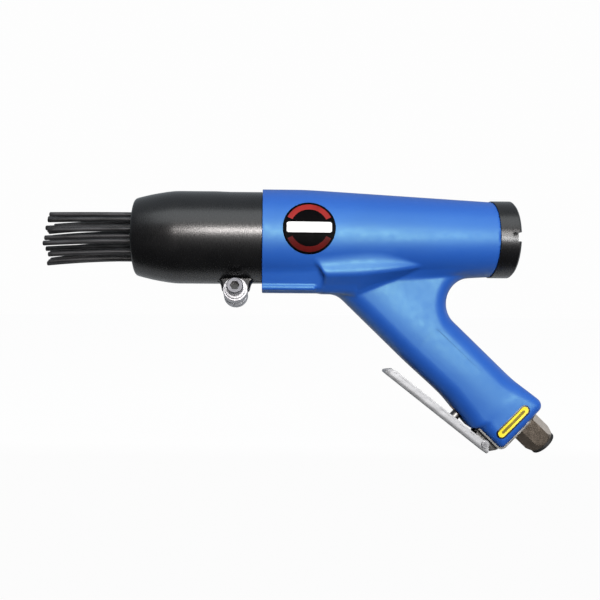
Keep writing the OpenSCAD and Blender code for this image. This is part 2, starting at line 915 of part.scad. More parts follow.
module in_clamp() {
    rotate([-clamp_turn, 0, 0])
    translate([x_clamp, 0, -lug_reach])
    rotate([90, 0, 0])
    children();
}

// A bar along the clamp screw, towards the photographed side
module clamp_bar(c0, c1, d) {
    translate([0, 0, c0])
    cylinder(d = d, h = c1 - c0, $fn = 48);
}

module front_tube() {
    r = tube_d / 2;
    root_rim = 1.5;
    root_under = 1;
    root_side = 0.6;
    root_in = 6;
    root_w = lug_d + 2 * root_rim;
    root_half = slit_w / 2 + lug_len - root_side;
    root_end = lug_reach - root_under;
    relief_d = 2.4;
    color([0.07, 0.07, 0.08])
    difference() {
        union() {
            turned([[0, x_nose], [nose_d / 2 - edge, x_nose], [nose_d / 2, x_nose + edge],
                    [r, x_cone], [r, x_seat_end], [r - seat_step, x_seat_end + seat_step],
                    [r - seat_step, x_tube_end], [0, x_tube_end]]);
            rotate([-clamp_turn, 0, 0])
            translate([x_clamp - root_w / 2, -root_half, -root_end])
            cube([root_w, 2 * root_half, root_end - r + root_in]);
        }
        bar(x_nose - over, x_lip + over, nose_open_d);
        bar(x_lip, x_shoulder + over, chamber_d);
        bar(x_shoulder, x_tube_end + over, spigot_d);
        rotate([-clamp_turn, 0, 0])
        translate([x_tube_end - slit_len, -slit_w / 2, -lug_reach - lug_d])
        cube([slit_len + over, slit_w, lug_reach]);
        rotate([-clamp_turn, 0, 0])
        translate([x_tube_end - slit_len, 0, -tube_d])
        cylinder(d = relief_d, h = tube_d / 2, $fn = 32);
        in_clamp()
        clamp_bar(-slit_w / 2 - lug_len - over, slit_w / 2 + lug_len + over, lug_d + 2 * seat);
    }
}

module clamp_lugs() {
    hollow_in = 2;
    color([0.7, 0.71, 0.72])
    difference() {
        in_clamp()
        for (side = [-1, 1]) {
            translate([0, 0, side * (slit_w + lug_len) / 2])
            difference() {
                clamp_bar(-lug_len / 2, lug_len / 2, lug_d);
                clamp_bar(-lug_len, lug_len, screw_d + 2 * free);
            }
        }
        bar(x_clamp - lug_d, x_clamp + lug_d, tube_d - 2 * hollow_in);
    }
}

module clamp_screw() {
    lug_face = slit_w / 2 + lug_len;
    head_at = lug_face + washer_t;
    socket_h = screw_head_h / 2;
    head_edge = 0.5;
    end_out = 1.5;
    color([0.74, 0.75, 0.76])
    in_clamp()
    difference() {
        union() {
            clamp_bar(-lug_face - nut_h - end_out, head_at + over, screw_d);
            translate([0, 0, head_at])
            rotate_extrude($fn = 48)
            polygon([[0, 0], [screw_head_d / 2, 0], [screw_head_d / 2, screw_head_h - head_edge],
                     [screw_head_d / 2 - head_edge, screw_head_h], [0, screw_head_h]]);
        }
        translate([0, 0, head_at + screw_head_h - socket_h])
        cylinder(d = screw_key / cos(30), h = socket_h + over, $fn = 6);
    }
}

module clamp_washer() {
    lug_face = slit_w / 2 + lug_len;
    color([0.78, 0.79, 0.8])
    in_clamp()
    difference() {
        clamp_bar(lug_face, lug_face + washer_t, washer_d);
        clamp_bar(lug_face - over, lug_face + washer_t + over, screw_d + 2 * free);
    }
}

module clamp_nut() {
    lug_face = slit_w / 2 + lug_len;
    color([0.74, 0.75, 0.76])
    in_clamp()
    difference() {
        translate([0, 0, -lug_face - nut_h])
        cylinder(d = nut_w / cos(30), h = nut_h, $fn = 6);
        clamp_bar(-lug_face - nut_h - over, -lug_face + over, screw_d + 2 * seat);
    }
}

// The lever's own frame: the hinge pin at the origin, the tip along +X, the handle along +Z
module in_lever() {
    in_handle()
    translate([hinge_at, 0, hinge_drop])
    rotate([0, 0, 180])
    rotate([0, lever_open, 0])
    children();
}

module throttle_lever() {
    wall_top = lever_floor + lever_wall;
    floor_outline = [
        [-lever_tail, lever_floor], [lever_len, lever_floor],
        [lever_len, lever_inside], [-lever_tail, lever_inside]
    ];
    wall_outline = [
        [-lever_tail, lever_floor], [lever_len, lever_floor], [lever_len, lever_inside],
        [lever_len - tip_len, wall_top], [lever_eye_r, wall_top], [lever_eye_r, 0],
        [-lever_eye_r, 0], [-lever_tail, lever_inside]
    ];
    color([0.78, 0.79, 0.8])
    in_lever()
    difference() {
        union() {
            side_plate(lever_w)
            polygon(floor_outline);
            for (side = [-1, 1]) {
                translate([0, side * (lever_w - lever_t) / 2, 0])
                side_plate(lever_t)
                union() {
                    polygon(wall_outline);
                    circle(lever_eye_r, $fn = 32);
                }
            }
        }
        side_bar(0, 0, pin_d + 2 * fit, lever_w + 2 * over);
    }
}

module lever_bracket() {
    bend_in = bend_r - bracket_t;
    top = foot - bracket_top;
    color([0.75, 0.76, 0.78])
    in_handle()
    difference() {
        union() {
            side_plate(bracket_w) {
                translate([top, bracket_face])
                square([foot + bracket_t - bend_r - top, bracket_t]);
                translate([foot, bracket_face + bend_r])
                square([bracket_t, inlet_back - bracket_face - bend_r]);
                intersection() {
                    translate([foot + bracket_t - bend_r, bracket_face + bend_r])
                    difference() {
                        circle(bend_r, $fn = 64);
                        circle(bend_in, $fn = 64);
                    }
                    translate([foot + bracket_t - bend_r, bracket_face])
                    square(bend_r);
                }
            }
            handle_bar(foot, foot + bracket_t, bracket_eye_d, at = inlet_back);
            for (side = [-1, 1]) {
                translate([0, side * (ear_out - bracket_t / 2), 0])
                side_plate(bracket_t)
                union() {
                    translate([hinge_at, hinge_drop])
                    circle(ear_r, $fn = 32);
                    polygon([[hinge_at - ear_run, hinge_drop], [hinge_at + ear_r, hinge_drop],
                             [hinge_at + ear_base / 2, bracket_face + bracket_t / 2],
                             [hinge_at - ear_run - ear_slant, bracket_face + bracket_t / 2]]);
                }
            }
        }
        handle_bar(foot - over, foot + bracket_t + over, inlet_stem_d + 2 * free, at = inlet_back);
        side_bar(hinge_at, hinge_drop, pin_d + 2 * seat, lever_w);
    }
}

module lever_pin() {
    head_gap = 0.2;
    head_at = lever_w / 2 + head_gap;
    color([0.7, 0.71, 0.72])
    in_handle()
    union() {
        side_bar(hinge_at, hinge_drop, pin_d, 2 * head_at + pin_head_t);
        for (side = [-1, 1]) {
            translate([0, side * (head_at + pin_head_t / 2), 0])
            side_bar(hinge_at, hinge_drop, pin_head_d, pin_head_t);
        }
    }
}

module throttle_stem() {
    guide_over = 1;
    neck_front = bush_front + guide_part + guide_over;
    color([0.76, 0.77, 0.78])
    in_handle()
    union() {
        translate([stem_at, 0, dome_at])
        sphere(dome_r, $fn = 48);
        cross_bar(dome_at, neck_front, stem_d);
        cross_bar(neck_front - over, poppet_front + over, neck_d);
        cross_bar(poppet_front, poppet_back, poppet_d);
    }
}

module throttle_bush() {
    port_d = 5;
    port_in = 3.2;
    port_at = bush_back - port_in;
    seal_at = bush_front + seal_back;
    color([0.72, 0.58, 0.3])
    in_handle()
    difference() {
        cross_bar(bush_front, bush_back, throttle_bush_d - 2 * seat);
        cross_bar(bush_front - over, bush_back + over, stem_d + 2 * fit);
        cross_bar(bush_front + guide_part, bush_back + over, flow_d);
        cross_bar(seal_at - seal_groove_w / 2, seal_at + seal_groove_w / 2,
                  stem_d + 2 * fit + 2 * stem_seal_wire);
        translate([stem_at - throttle_bush_d, 0, port_at])
        rotate([0, 90, 0])
        cylinder(d = port_d, h = throttle_bush_d, $fn = 32);
    }
}

module stem_seal() {
    color([0.08, 0.08, 0.08])
    in_handle()
    translate([stem_at, 0, bush_front + seal_back])
    rotate_extrude($fn = 48)
    translate([stem_d / 2 + fit + stem_seal_wire / 2, 0])
    circle(d = stem_seal_wire, $fn = 20);
}

throttle_curls = 5;
throttle_spring_in = 0.5;
throttle_coil = coil((poppet_d - throttle_wire) / 2 - throttle_spring_in, valve_end - poppet_back - 2 * spring_space,
                     throttle_wire, throttle_curls, spring_rings);
echo(throttle_spring_gap = coil_gap(throttle_coil, throttle_wire, spring_rings));

module throttle_spring() {
    color([0.6, 0.61, 0.63])
    in_handle()
    translate([stem_at, 0, poppet_back + spring_space])
    spring(throttle_coil, throttle_wire, spring_rings);
}

module inlet_bushing() {
    chamfer_len = 4.5;
    chamfer_in = 0.2;
    chamfer_out = 0.4;
    chamfer_r = inlet_hex / 2 - chamfer_in;
    color([0.62, 0.58, 0.54])
    in_inlet()
    difference() {
        union() {
            intersection() {
                translate([hex_at, 0, 0])
                rotate([0, 90, 0])
                cylinder(d = inlet_hex / cos(30), h = inlet_hex_len, $fn = 6);
                rotate([0, 90, 0])
                rotate_extrude($fn = 64)
                polygon([[0, hex_at - over], [inlet_hex, hex_at - over], [inlet_hex, hex_end - chamfer_len],
                         [inlet_hex / cos(30) / 2 + chamfer_out, hex_end - chamfer_len], [chamfer_r, hex_end],
                         [0, hex_end]]);
            }
            handle_bar(inlet_end, hex_at + over, inlet_stem_d - 2 * seat);
        }
        handle_bar(hex_end - inlet_bore_len, hex_end + over, inlet_bore_d);
        handle_bar(inlet_end - over, hex_end, inlet_through_d);
        handle_bar(inlet_end - over, inlet_end + screen_t, screen_d + 2 * seat);
    }
}

module inlet_gasket() {
    color([0.25, 0.2, 0.18])
    in_inlet()
    difference() {
        handle_bar(gasket_at, hex_at, inlet_stem_d + 2 * gasket_rim);
        handle_bar(gasket_at - over, hex_at + over, inlet_stem_d + 2 * free);
    }
}

module inlet_seal() {
    hole_step = 0.5;
    color([0.05, 0.05, 0.05])
    in_inlet()
    difference() {
        handle_bar(hex_end, hex_end + seal_t, seal_d);
        handle_bar(hex_end - over, hex_end + seal_t + over, inlet_bore_d + 2 * hole_step);
    }
}

module inlet_screen() {
    holes = 6;
    hole_d = 2;
    hole_r = 3;
    color([0.7, 0.7, 0.7])
    in_inlet()
    difference() {
        handle_bar(inlet_end, inlet_end + screen_t - seat, screen_d);
        handle_bar(inlet_end - over, inlet_end + screen_t + over, hole_d);
        for (k = [0 : holes - 1]) {
            rotate([360 / holes * k, 0, 0])
            translate([0, hole_r, 0])
            handle_bar(inlet_end - over, inlet_end + screen_t + over, hole_d);
        }
    }
}

module round_plate() {
    grow = badge_t + seat;
    x_end = x_house + collar_len;
    slope = (rear_r - collar_r) / (house_len - collar_len);
    far = 40;
    color([0.05, 0.05, 0.06])
    intersection() {
        turned([[collar_r + seat, x_house + edge], [collar_r + grow, x_house + edge],
                [collar_r + grow, x_end], [collar_r + grow + slope * far, x_end + far],
                [collar_r + seat + slope * far, x_end + far], [collar_r + seat, x_end]]);
        translate([x_house + badge_x, 0, badge_up])
        rotate([90, 0, 0])
        cylinder(d = badge_d, h = tube_d, $fn = 96);
    }
}

module oiling_label() {
    run = (label_len - label_w) / 2;
    color([0.9, 0.75, 0.1])
    in_handle()
    intersection() {
        difference() {
            union() {
                handle_prism(label_at - label_w, label_at + label_w, label_t + seat);
                heel(label_t + seat);
            }
            handle_prism(label_at - label_w - over, label_at + label_w + over, seat);
            heel(seat);
        }
        translate([label_at, 0, 0])
        rotate([90, 0, 0])
        linear_extrude(handle_w)
        union() {
            square([label_w, 2 * run], center = true);
            for (side = [-1, 1]) {
                translate([0, side * run])
                circle(d = label_w, $fn = 32);
            }
        }
    }
}

housing();
end_cap();
end_cap_seal();
cylinder_sleeve();  // cylinder
anvil_bush();
anvil_buffer();
anvil();
piston();
valve_seat();
valve_disc();
valve_cap();
valve_packing();
needle_holder();
needle_spring();
needle_guide();
front_tube();
clamp_lugs();
clamp_screw();
clamp_washer();
clamp_nut();
throttle_lever();
lever_bracket();
lever_pin();
throttle_stem();
throttle_bush();
stem_seal();
throttle_spring();
inlet_bushing();
inlet_gasket();
inlet_seal();
inlet_screen();
round_plate();
oiling_label();
for (i = [1 : 19]) needle(i);
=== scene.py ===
import math
import random
import bpy
import numpy as np
from mathutils import Matrix, Vector


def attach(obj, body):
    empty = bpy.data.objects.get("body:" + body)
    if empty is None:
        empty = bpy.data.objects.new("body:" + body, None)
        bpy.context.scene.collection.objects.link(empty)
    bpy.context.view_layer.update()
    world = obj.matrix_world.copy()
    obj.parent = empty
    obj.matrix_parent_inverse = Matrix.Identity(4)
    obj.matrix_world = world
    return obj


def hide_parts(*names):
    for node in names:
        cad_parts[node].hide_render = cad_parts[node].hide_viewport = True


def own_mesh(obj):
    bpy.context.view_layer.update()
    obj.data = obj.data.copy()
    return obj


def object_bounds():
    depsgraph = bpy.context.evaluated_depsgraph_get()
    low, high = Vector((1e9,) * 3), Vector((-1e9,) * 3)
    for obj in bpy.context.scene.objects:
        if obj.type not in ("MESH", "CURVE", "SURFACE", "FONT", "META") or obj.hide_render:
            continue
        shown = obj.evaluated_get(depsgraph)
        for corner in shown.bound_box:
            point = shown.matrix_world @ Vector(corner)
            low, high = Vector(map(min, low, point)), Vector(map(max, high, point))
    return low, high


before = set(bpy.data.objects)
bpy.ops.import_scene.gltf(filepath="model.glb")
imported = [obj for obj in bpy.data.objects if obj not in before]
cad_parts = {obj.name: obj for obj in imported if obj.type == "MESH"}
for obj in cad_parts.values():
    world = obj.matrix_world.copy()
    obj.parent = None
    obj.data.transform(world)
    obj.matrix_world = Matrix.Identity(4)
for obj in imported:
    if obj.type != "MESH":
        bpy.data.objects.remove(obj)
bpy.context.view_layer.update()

# Sizes of the tool in millimetres, as in the part's source
MM = 0.001
NOSE_X = -37.3
SEAT_HALF = 12.5
TUBE_END = 40.7
TUBE_R = 28.75
HOUSE_X = 41.2
REAR_X = 182.7
COLLAR_R = 30.1
COLLAR_END = 67.2
REAR_R = 23.3
KEEL_Z = -34.2
CROSS_X = 78.45
LEAN = math.radians(44)
HANDLE_HALF_WIDTH = 16
GRIP_ROUND = 10
CROWN = 55
FOOT = 168
INLET_N = 5.5
CLAMP_X = 25.2
CLAMP_TURN = math.radians(17)
LUG_REACH = 35.85
LUG_R = 7.4
LUG_LEN = 6.5
SLIT = 1.5
SLIT_X = 15
HINGE_T = 160
HINGE_N = -20.9
STEM_T = 136.5
LEVER_OPEN = math.radians(6)
PLATE_X = 68.7
PLATE_Z = 3.8
NEEDLE_TIP = -94.3
NEEDLE_BACK = 87.7
NEEDLE_R = 1.5
NEEDLE_HEAD_R = 2.2
NEEDLE_HEAD_LEN = 3
NEEDLE_COUNT = 19
RING_PITCH = 7.05
NOSE_TRAVEL = 12
BORE_R = 25
SLEEVE_R = 20
STEP_X = 104.1
INLET_R = 8
INLET_DEEP = 17
BUSH_R = 7
BUSH_END = 8.3
LABEL_UP = 8.3
SPRING_FRONT = -27.15
SPRING_BACK = 72.55
STEM_SPRING_FRONT = -2.6
STEM_SPRING_BACK = 7.26

# Frames of the pieces, in metres
BARREL = Matrix.Identity(4)
HANDLE = Matrix.Translation((CROSS_X * MM, 0, 0)) @ Matrix.Rotation(LEAN, 4, "Y")
CLAMP = (Matrix.Rotation(-CLAMP_TURN, 4, "X")
         @ Matrix.Translation((CLAMP_X * MM, 0, -LUG_REACH * MM))
         @ Matrix.Rotation(math.radians(90), 4, "X"))
INLET = HANDLE @ Matrix.Translation((0, 0, INLET_N * MM))
STEM = HANDLE @ Matrix.Translation((STEM_T * MM, 0, 0)) @ Matrix.Rotation(-math.pi / 2, 4, "Y")
LEVER = (HANDLE @ Matrix.Translation((HINGE_T * MM, 0, HINGE_N * MM))
         @ Matrix.Rotation(math.pi, 4, "Z") @ Matrix.Rotation(LEVER_OPEN, 4, "Y"))


# Working on one object at a time, as by hand
def pick(*objs):
    bpy.ops.object.select_all(action="DESELECT")
    for obj in objs:
        obj.select_set(True)
    bpy.context.view_layer.objects.active = objs[0]


def edit(obj):
    pick(obj)
    bpy.ops.object.mode_set(mode="EDIT")
    bpy.ops.mesh.select_all(action="SELECT")


def leave():
    bpy.ops.object.mode_set(mode="OBJECT")


def finish_modifier(obj, kind, **settings):
    pick(obj)
    modifier = obj.modifiers.new(kind.title(), kind)
    for key, value in settings.items():
        setattr(modifier, key, value)
    bpy.ops.object.modifier_apply(modifier=modifier.name)


def merge(obj, distance=0.0001):
    edit(obj)
    bpy.ops.mesh.remove_doubles(threshold=distance)
    bpy.ops.mesh.normals_make_consistent(inside=False)
    leave()


def shade(obj, angle=35):
    pick(obj)
    bpy.ops.object.shade_smooth_by_angle(angle=math.radians(angle))


def seat(obj, place):
    """Puts a piece that was drawn in millimetres where its frame is, with the place in its mesh."""
    obj.data.transform(place @ Matrix.Scale(MM, 4))
    obj.data.update()
    return obj


def drawn(name, points, edges=(), faces=()):
    mesh = bpy.data.meshes.new(name)
    mesh.from_pydata([tuple(p) for p in points], list(edges), list(faces))
    obj = bpy.data.objects.new(name, mesh)
    bpy.context.scene.collection.objects.link(obj)
    return obj


def turned(name, profile, steps=96, closed=False):
    """Spins a profile of (place along X, radius) about X."""
    points = [(x, 0, r) for x, r in profile]
    edges = [(k, k + 1) for k in range(len(points) - 1)]
    if closed:
        edges.append((len(points) - 1, 0))
    obj = drawn(name, points, edges)
    edit(obj)
    bpy.ops.mesh.spin(steps=steps, angle=2 * math.pi, center=(0, 0, 0), axis=(1, 0, 0))
    leave()
    merge(obj)
    return obj


def prism(name, outline, low, high):
    """Extrudes an outline of (x, z) from low to high along Y."""
    obj = drawn(name, [(x, low, z) for x, z in outline], faces=[range(len(outline))])
    edit(obj)
    bpy.ops.mesh.extrude_region_move(TRANSFORM_OT_translate={"value": (0, high - low, 0)})
    leave()
    merge(obj)
    return obj


def arc(cx, cz, r, start, end, steps):
    angles = [math.radians(start + (end - start) * k / steps) for k in range(steps + 1)]
    return [(cx + r * math.cos(a), cz + r * math.sin(a)) for a in angles]


def cut(obj, tool, how="DIFFERENCE"):
    finish_modifier(obj, "BOOLEAN", object=tool, operation=how, solver="MANIFOLD")
    bpy.data.objects.remove(tool)


def ease(obj, width, angle=35, segments=2):
    """Rounds the sharp edges of a piece."""
    finish_modifier(obj, "BEVEL", width=width, segments=segments, limit_method="ANGLE",
                    angle_limit=math.radians(angle), use_clamp_overlap=True)


def put(obj, body, slot, materials, *nodes):
    """Gives a finished piece its materials, its body and the nodes that it stands for."""
    obj.data.materials.clear()
    for material in materials:
        obj.data.materials.append(material)
    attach(obj, body)
    if nodes:
        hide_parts(*nodes)
    return obj


# Camera, at the photograph's viewing angle
PHOTO_PX = 600
SENSOR = 36
SCALE = 0.625 * MM
AXIS_PX = (266, 300)
ORIGIN_PX = (196, 238.2)
DISTANCE = 0.439
ROLL = math.radians(0.46)
camera_data = bpy.data.cameras.new("camera")
camera_data.sensor_width = SENSOR
camera_data.lens = SENSOR * DISTANCE / (PHOTO_PX * SCALE)
camera_data.shift_x = (PHOTO_PX / 2 - AXIS_PX[0]) / PHOTO_PX
camera_data.clip_start = 0.01
camera = bpy.data.objects.new("camera", camera_data)
bpy.context.scene.collection.objects.link(camera)
camera_place = Matrix.Translation(((AXIS_PX[0] - ORIGIN_PX[0]) * SCALE, -DISTANCE,
                                   (ORIGIN_PX[1] - AXIS_PX[1]) * SCALE))
camera.matrix_world = camera_place @ Matrix.Rotation(math.pi / 2, 4, "X") @ Matrix.Rotation(ROLL, 4, "Z")
bpy.context.scene.camera = camera
bpy.context.scene.view_settings.view_transform = "Standard"


# Materials
def srgb(r, g, b):
    def linear(c):
        c = c / 255
        return c / 12.92 if c <= 0.04045 else ((c + 0.055) / 1.055) ** 2.4
    return (linear(r), linear(g), linear(b), 1)


class Finish:
    """A material with a grain, a tone that varies over the surface, and a fine relief."""

    def __init__(self, name, **sockets):
        self.material = bpy.data.materials.new(name)
        self.material.use_nodes = True
        self.tree = self.material.node_tree
        self.shader = self.tree.nodes["Principled BSDF"]
        for key, value in sockets.items():
            self.shader.inputs[key.replace("_", " ")].default_value = value
        self.place = self.node("ShaderNodeTexCoord").outputs["Object"]

    def node(self, kind, **settings):
        made = self.tree.nodes.new(kind)
        for key, value in settings.items():
            setattr(made, key, value)
        return made

    def join(self, a, b):
        self.tree.links.new(a, b)

    def noise(self, scale, detail=3, stretch=(1, 1, 1), turn=(0, 0, 0)):
        mapping = self.node("ShaderNodeMapping")
        mapping.inputs["Scale"].default_value = stretch
        mapping.inputs["Rotation"].default_value = turn
        self.join(self.place, mapping.inputs["Vector"])
        noise = self.node("ShaderNodeTexNoise")
        noise.inputs["Scale"].default_value = scale
        noise.inputs["Detail"].default_value = detail
        self.join(mapping.outputs["Vector"], noise.inputs["Vector"])
        return noise.outputs["Fac"]

    def tone(self, field, low, high, start=0.35, end=0.65):
        """Base colour from low to high by a noise field."""
        ramp = self.node("ShaderNodeValToRGB")
        ramp.color_ramp.elements[0].position = start
        ramp.color_ramp.elements[0].color = low
        ramp.color_ramp.elements[1].position = end
        ramp.color_ramp.elements[1].color = high
        self.join(field, ramp.inputs["Fac"])
        self.join(ramp.outputs["Color"], self.shader.inputs["Base Color"])

    def gloss(self, field, low, high):
        """Roughness from low to high by a noise field."""
        spread = self.node("ShaderNodeMapRange")
        spread.inputs["From Min"].default_value = 0.3
        spread.inputs["From Max"].default_value = 0.7
        spread.inputs["To Min"].default_value = low
        spread.inputs["To Max"].default_value = high
        self.join(field, spread.inputs["Value"])
        self.join(spread.outputs["Result"], self.shader.inputs["Roughness"])

    def relief(self, field, strength, depth):
        bump = self.node("ShaderNodeBump")
        bump.inputs["Strength"].default_value = strength
        bump.inputs["Distance"].default_value = depth
        self.join(field, bump.inputs["Height"])
        self.join(bump.outputs["Normal"], self.shader.inputs["Normal"])


def blue_paint():
    f = Finish("blue_paint", Specular_IOR_Level=0.76, Specular_Tint=(0.47, 0.95, 0.68, 1))
    f.tone(f.noise(18, 2), srgb(21, 66, 147), srgb(25, 71, 153))
    f.gloss(f.noise(260, 4), 0.42, 0.50)
    f.relief(f.noise(1500, 2), 0.06, 0.0002)
    return f.material


def black_steel():
    f = Finish("black_steel", Specular_IOR_Level=0.5)
    f.tone(f.noise(60, 4), srgb(5, 5, 6), srgb(10, 10, 11))
    f.gloss(f.noise(420, 5, stretch=(12, 1, 1)), 0.24, 0.33)
    f.relief(f.noise(900, 3, stretch=(14, 1, 1)), 0.05, 0.0001)
    return f.material


def needle_steel():
    f = Finish("needle_steel", Metallic=0.35)
    f.tone(f.noise(300, 4, stretch=(0.2, 1, 1)), srgb(22, 22, 23), srgb(48, 48, 50))
    f.gloss(f.noise(700, 4, stretch=(0.15, 1, 1)), 0.38, 0.52)
    f.relief(f.noise(1800, 3, stretch=(0.1, 1, 1)), 0.15, 0.0001)
    return f.material


def steel(name, low, high, rough, grain=(1, 1, 1), turn=(0, 0, 0), metal=1):
    f = Finish(name, Metallic=metal)
    f.tone(f.noise(240, 4, grain, turn), low, high)
    f.gloss(f.noise(520, 5, grain, turn), rough, rough + 0.12)
    f.relief(f.noise(1400, 3, grain, turn), 0.08, 0.0001)
    return f.material


def rubber():
    f = Finish("rubber", Specular_IOR_Level=0.35)
    f.tone(f.noise(320, 4), srgb(13, 13, 13), srgb(23, 23, 23))
    f.gloss(f.noise(500, 4), 0.55, 0.7)
    f.relief(f.noise(2200, 3), 0.12, 0.0001)
    return f.material


def enamel(name, low, high, rough, shine=0.5, metal=0):
    f = Finish(name, Specular_IOR_Level=shine, Metallic=metal)
    f.tone(f.noise(140, 3), low, high)
    f.gloss(f.noise(420, 3), rough, rough + 0.08)
    f.relief(f.noise(1600, 2), 0.04, 0.0001)
    return f.material


BLUE = blue_paint()
BLACK = black_steel()
NEEDLE = needle_steel()
BRIGHT = steel("bright_steel", srgb(128, 128, 130), srgb(158, 158, 160), 0.3)
LEVER_STEEL = steel("brushed_lever", srgb(142, 143, 145), srgb(160, 161, 163), 0.46,
                    (0.12, 1, 1), (0, LEAN, 0), 0.35)
NICKEL = enamel("nickel", srgb(110, 100, 90), srgb(118, 108, 97), 0.18, metal=0.9)
BRACKET_STEEL = steel("bracket_steel", srgb(96, 95, 94), srgb(124, 123, 121), 0.34)
CLAMP_STEEL = steel("clamp_steel", srgb(164, 164, 167), srgb(184, 184, 187), 0.42, metal=0.7)
SCREW_STEEL = enamel("screw_steel", srgb(92, 92, 96), srgb(104, 104, 108), 0.36, metal=0.7)
TOOL_STEEL = steel("tool_steel", srgb(128, 130, 134), srgb(158, 160, 163), 0.3, (1, 0.2, 0.2))
BRONZE = steel("bronze", srgb(166, 126, 70), srgb(192, 152, 92), 0.3)
RUBBER = rubber()
PLATE_BLACK = enamel("plate_black", srgb(2, 2, 2), srgb(4, 3, 4), 0.45, 0.02)
PLATE_RED = enamel("plate_red", srgb(112, 24, 22), srgb(130, 32, 29), 0.4, 0.1)
PLATE_DARK_RED = enamel("plate_dark_red", srgb(62, 9, 9), srgb(76, 13, 12), 0.4, 0.05)
PLATE_WHITE = enamel("plate_white", srgb(206, 206, 206), srgb(220, 220, 220), 0.5, 0.2)
LABEL_YELLOW = enamel("label_yellow", srgb(196, 180, 36), srgb(208, 192, 48), 0.4, 0.2)
LABEL_DARK = enamel("label_dark", srgb(98, 84, 18), srgb(112, 98, 26), 0.4, 0.2)
LABEL_BLACK = enamel("label_black", srgb(20, 20, 20), srgb(30, 30, 30), 0.3)


# Blue housing: barrel, keel, shoulder and grip, cast in one with round corners between them
def round_join(a, b, r):
    """Joins two solids' distance fields, with a round corner between them."""
    return np.maximum(r, np.minimum(a, b)) - np.hypot(np.maximum(r - a, 0), np.maximum(r - b, 0))


def round_meet(a, b, r):
    """Keeps what two solids' distance fields share, with a rounded edge."""
    return np.minimum(-r, np.maximum(a, b)) + np.hypot(np.maximum(r + a, 0), np.maximum(r + b, 0))


def corner_join(a, b, r, turn):
    """Joins two fields by a round corner, by the cosine between their outward directions."""
    u, v = r - a, r - b
    reach = np.sqrt(np.maximum(u * u + v * v - 2 * u * v * turn, 0) / (1 - turn * turn))
    return np.where((u > v * turn) & (v > u * turn), r - reach, np.minimum(a, b))


def ramp(value, low, high):
    """Rises smoothly from 0 to 1 between two places."""
    share = np.clip((value - low) / (high - low), 0, 1)
    return share * share * (3 - 2 * share)


def barrel_radius(x):
    slope = (COLLAR_R - REAR_R) / (REAR_X - COLLAR_END)
    bend = 5
    past = x - COLLAR_END
    return COLLAR_R - slope * (past + np.sqrt(past * past + bend * bend)) / 2


def barrel_field(x, w, z):
    rear_edge = 0.4
    return round_meet(np.hypot(w, z) - barrel_radius(x), x - REAR_X, rear_edge)


def keel_field(x, w, z):
    """Keel under the barrel, with a bead along its lower edge."""
    upright, lean = 0.93, 0.37
    flank_w, flank_z = 18.3, -29.5
    bottom_r, roof_z, roof_r = 4, -13, 1
    bead_w, bead_z, bead_r, bead_end = 17.4, -31.0, 1.9, 72
    bead_join = 0.8
    keel_end = 96
    side = upright * (w - flank_w) - lean * (z - flank_z)
    block = round_meet(round_meet(side, KEEL_Z - z, bottom_r), z - roof_z, roof_r)
    bead = np.sqrt((w - bead_w) ** 2 + (z - bead_z) ** 2 + np.maximum(x - bead_end, 0) ** 2) - bead_r
    return np.maximum(round_join(block, bead, bead_join), x - keel_end)


def shoulder_field(x, w, z):
    """Shoulder that narrows and rises to the rear, and slants in to the grip below its edge."""
    start, end = 81, 152
    front_w, narrowing = 26.8, 0.000041
    front_z, rise, curl = -23.2, 0.02, 0.0014
    foot_front_z, foot_rise, foot_start, foot_gap = -33.4, 0.38, 100, 0.5
    lean, edge_r, roof_z, small_r = 0.2, 2, -1, 1
    fade, fade_start, fade_end = 6, 138, 160
    face_x, face_lean, face_z, face_steep, face_r = 73.2, 0.6, -16, 1.12, 1.6
    along = np.maximum(x - start, 0)
    edge_w = front_w - narrowing * along ** 3
    edge_z = front_z + rise * along + curl * along * along
    foot_z = foot_front_z + foot_rise * np.maximum(x - foot_start, 0)
    wall = (w - edge_w + lean * (z - edge_z)) / math.hypot(1, lean)
    in_w, down_z = edge_w - HANDLE_HALF_WIDTH, edge_z - foot_z
    under = (down_z * (w - edge_w) - in_w * (z - edge_z)) / np.hypot(in_w, down_z)
    skirt = round_meet(wall, under, edge_r)
    skirt = round_meet(skirt, z - roof_z, small_r) + fade * ramp(x, fade_start, fade_end)
    skirt = round_meet(skirt, foot_z - foot_gap - z, small_r)
    face = face_x + face_lean * np.clip(face_z - z, -6, 8)
    return np.maximum(round_meet(skirt, (face - x) / face_steep, face_r), x - end)


def grip_lines(t):
    """Front and back of the grip at a place along it, with the flare of its foot."""
    front_line, waist, swell, recess_line = -18.35, 0.9, 2.4, -16.35
    back_line, flare, flare_start, flare_ease = 19.6, 0.05, 146, 3
    front = front_line + waist * ramp(t, 85, 122) - swell * ramp(t, 119, 147)
    step = ramp(t, 146.5, 151.5)
    front = front * (1 - step) + recess_line * step
    past = t - flare_start
    back = back_line + flare * (past + np.sqrt(past * past + flare_ease * flare_ease))
    return front, back


def toward_foot(t):
    """Rises from 0 on the grip to 1 near its foot."""
    return ramp(t, 138, 164)


def edge_round(t):
    """Edge radius of the grip, sharper toward its foot."""
    sharper = 4
    return GRIP_ROUND - sharper * toward_foot(t)


def grip_half_width(off_middle, t):
    """Half width of the grip, bowed a little from front to back and flatter toward its foot."""
    easy, flatter = 22, 0.75
    bow = (easy * np.tanh(off_middle / easy)) ** 2 / (2 * CROWN)
    return HANDLE_HALF_WIDTH - bow * (1 - flatter * toward_foot(t))


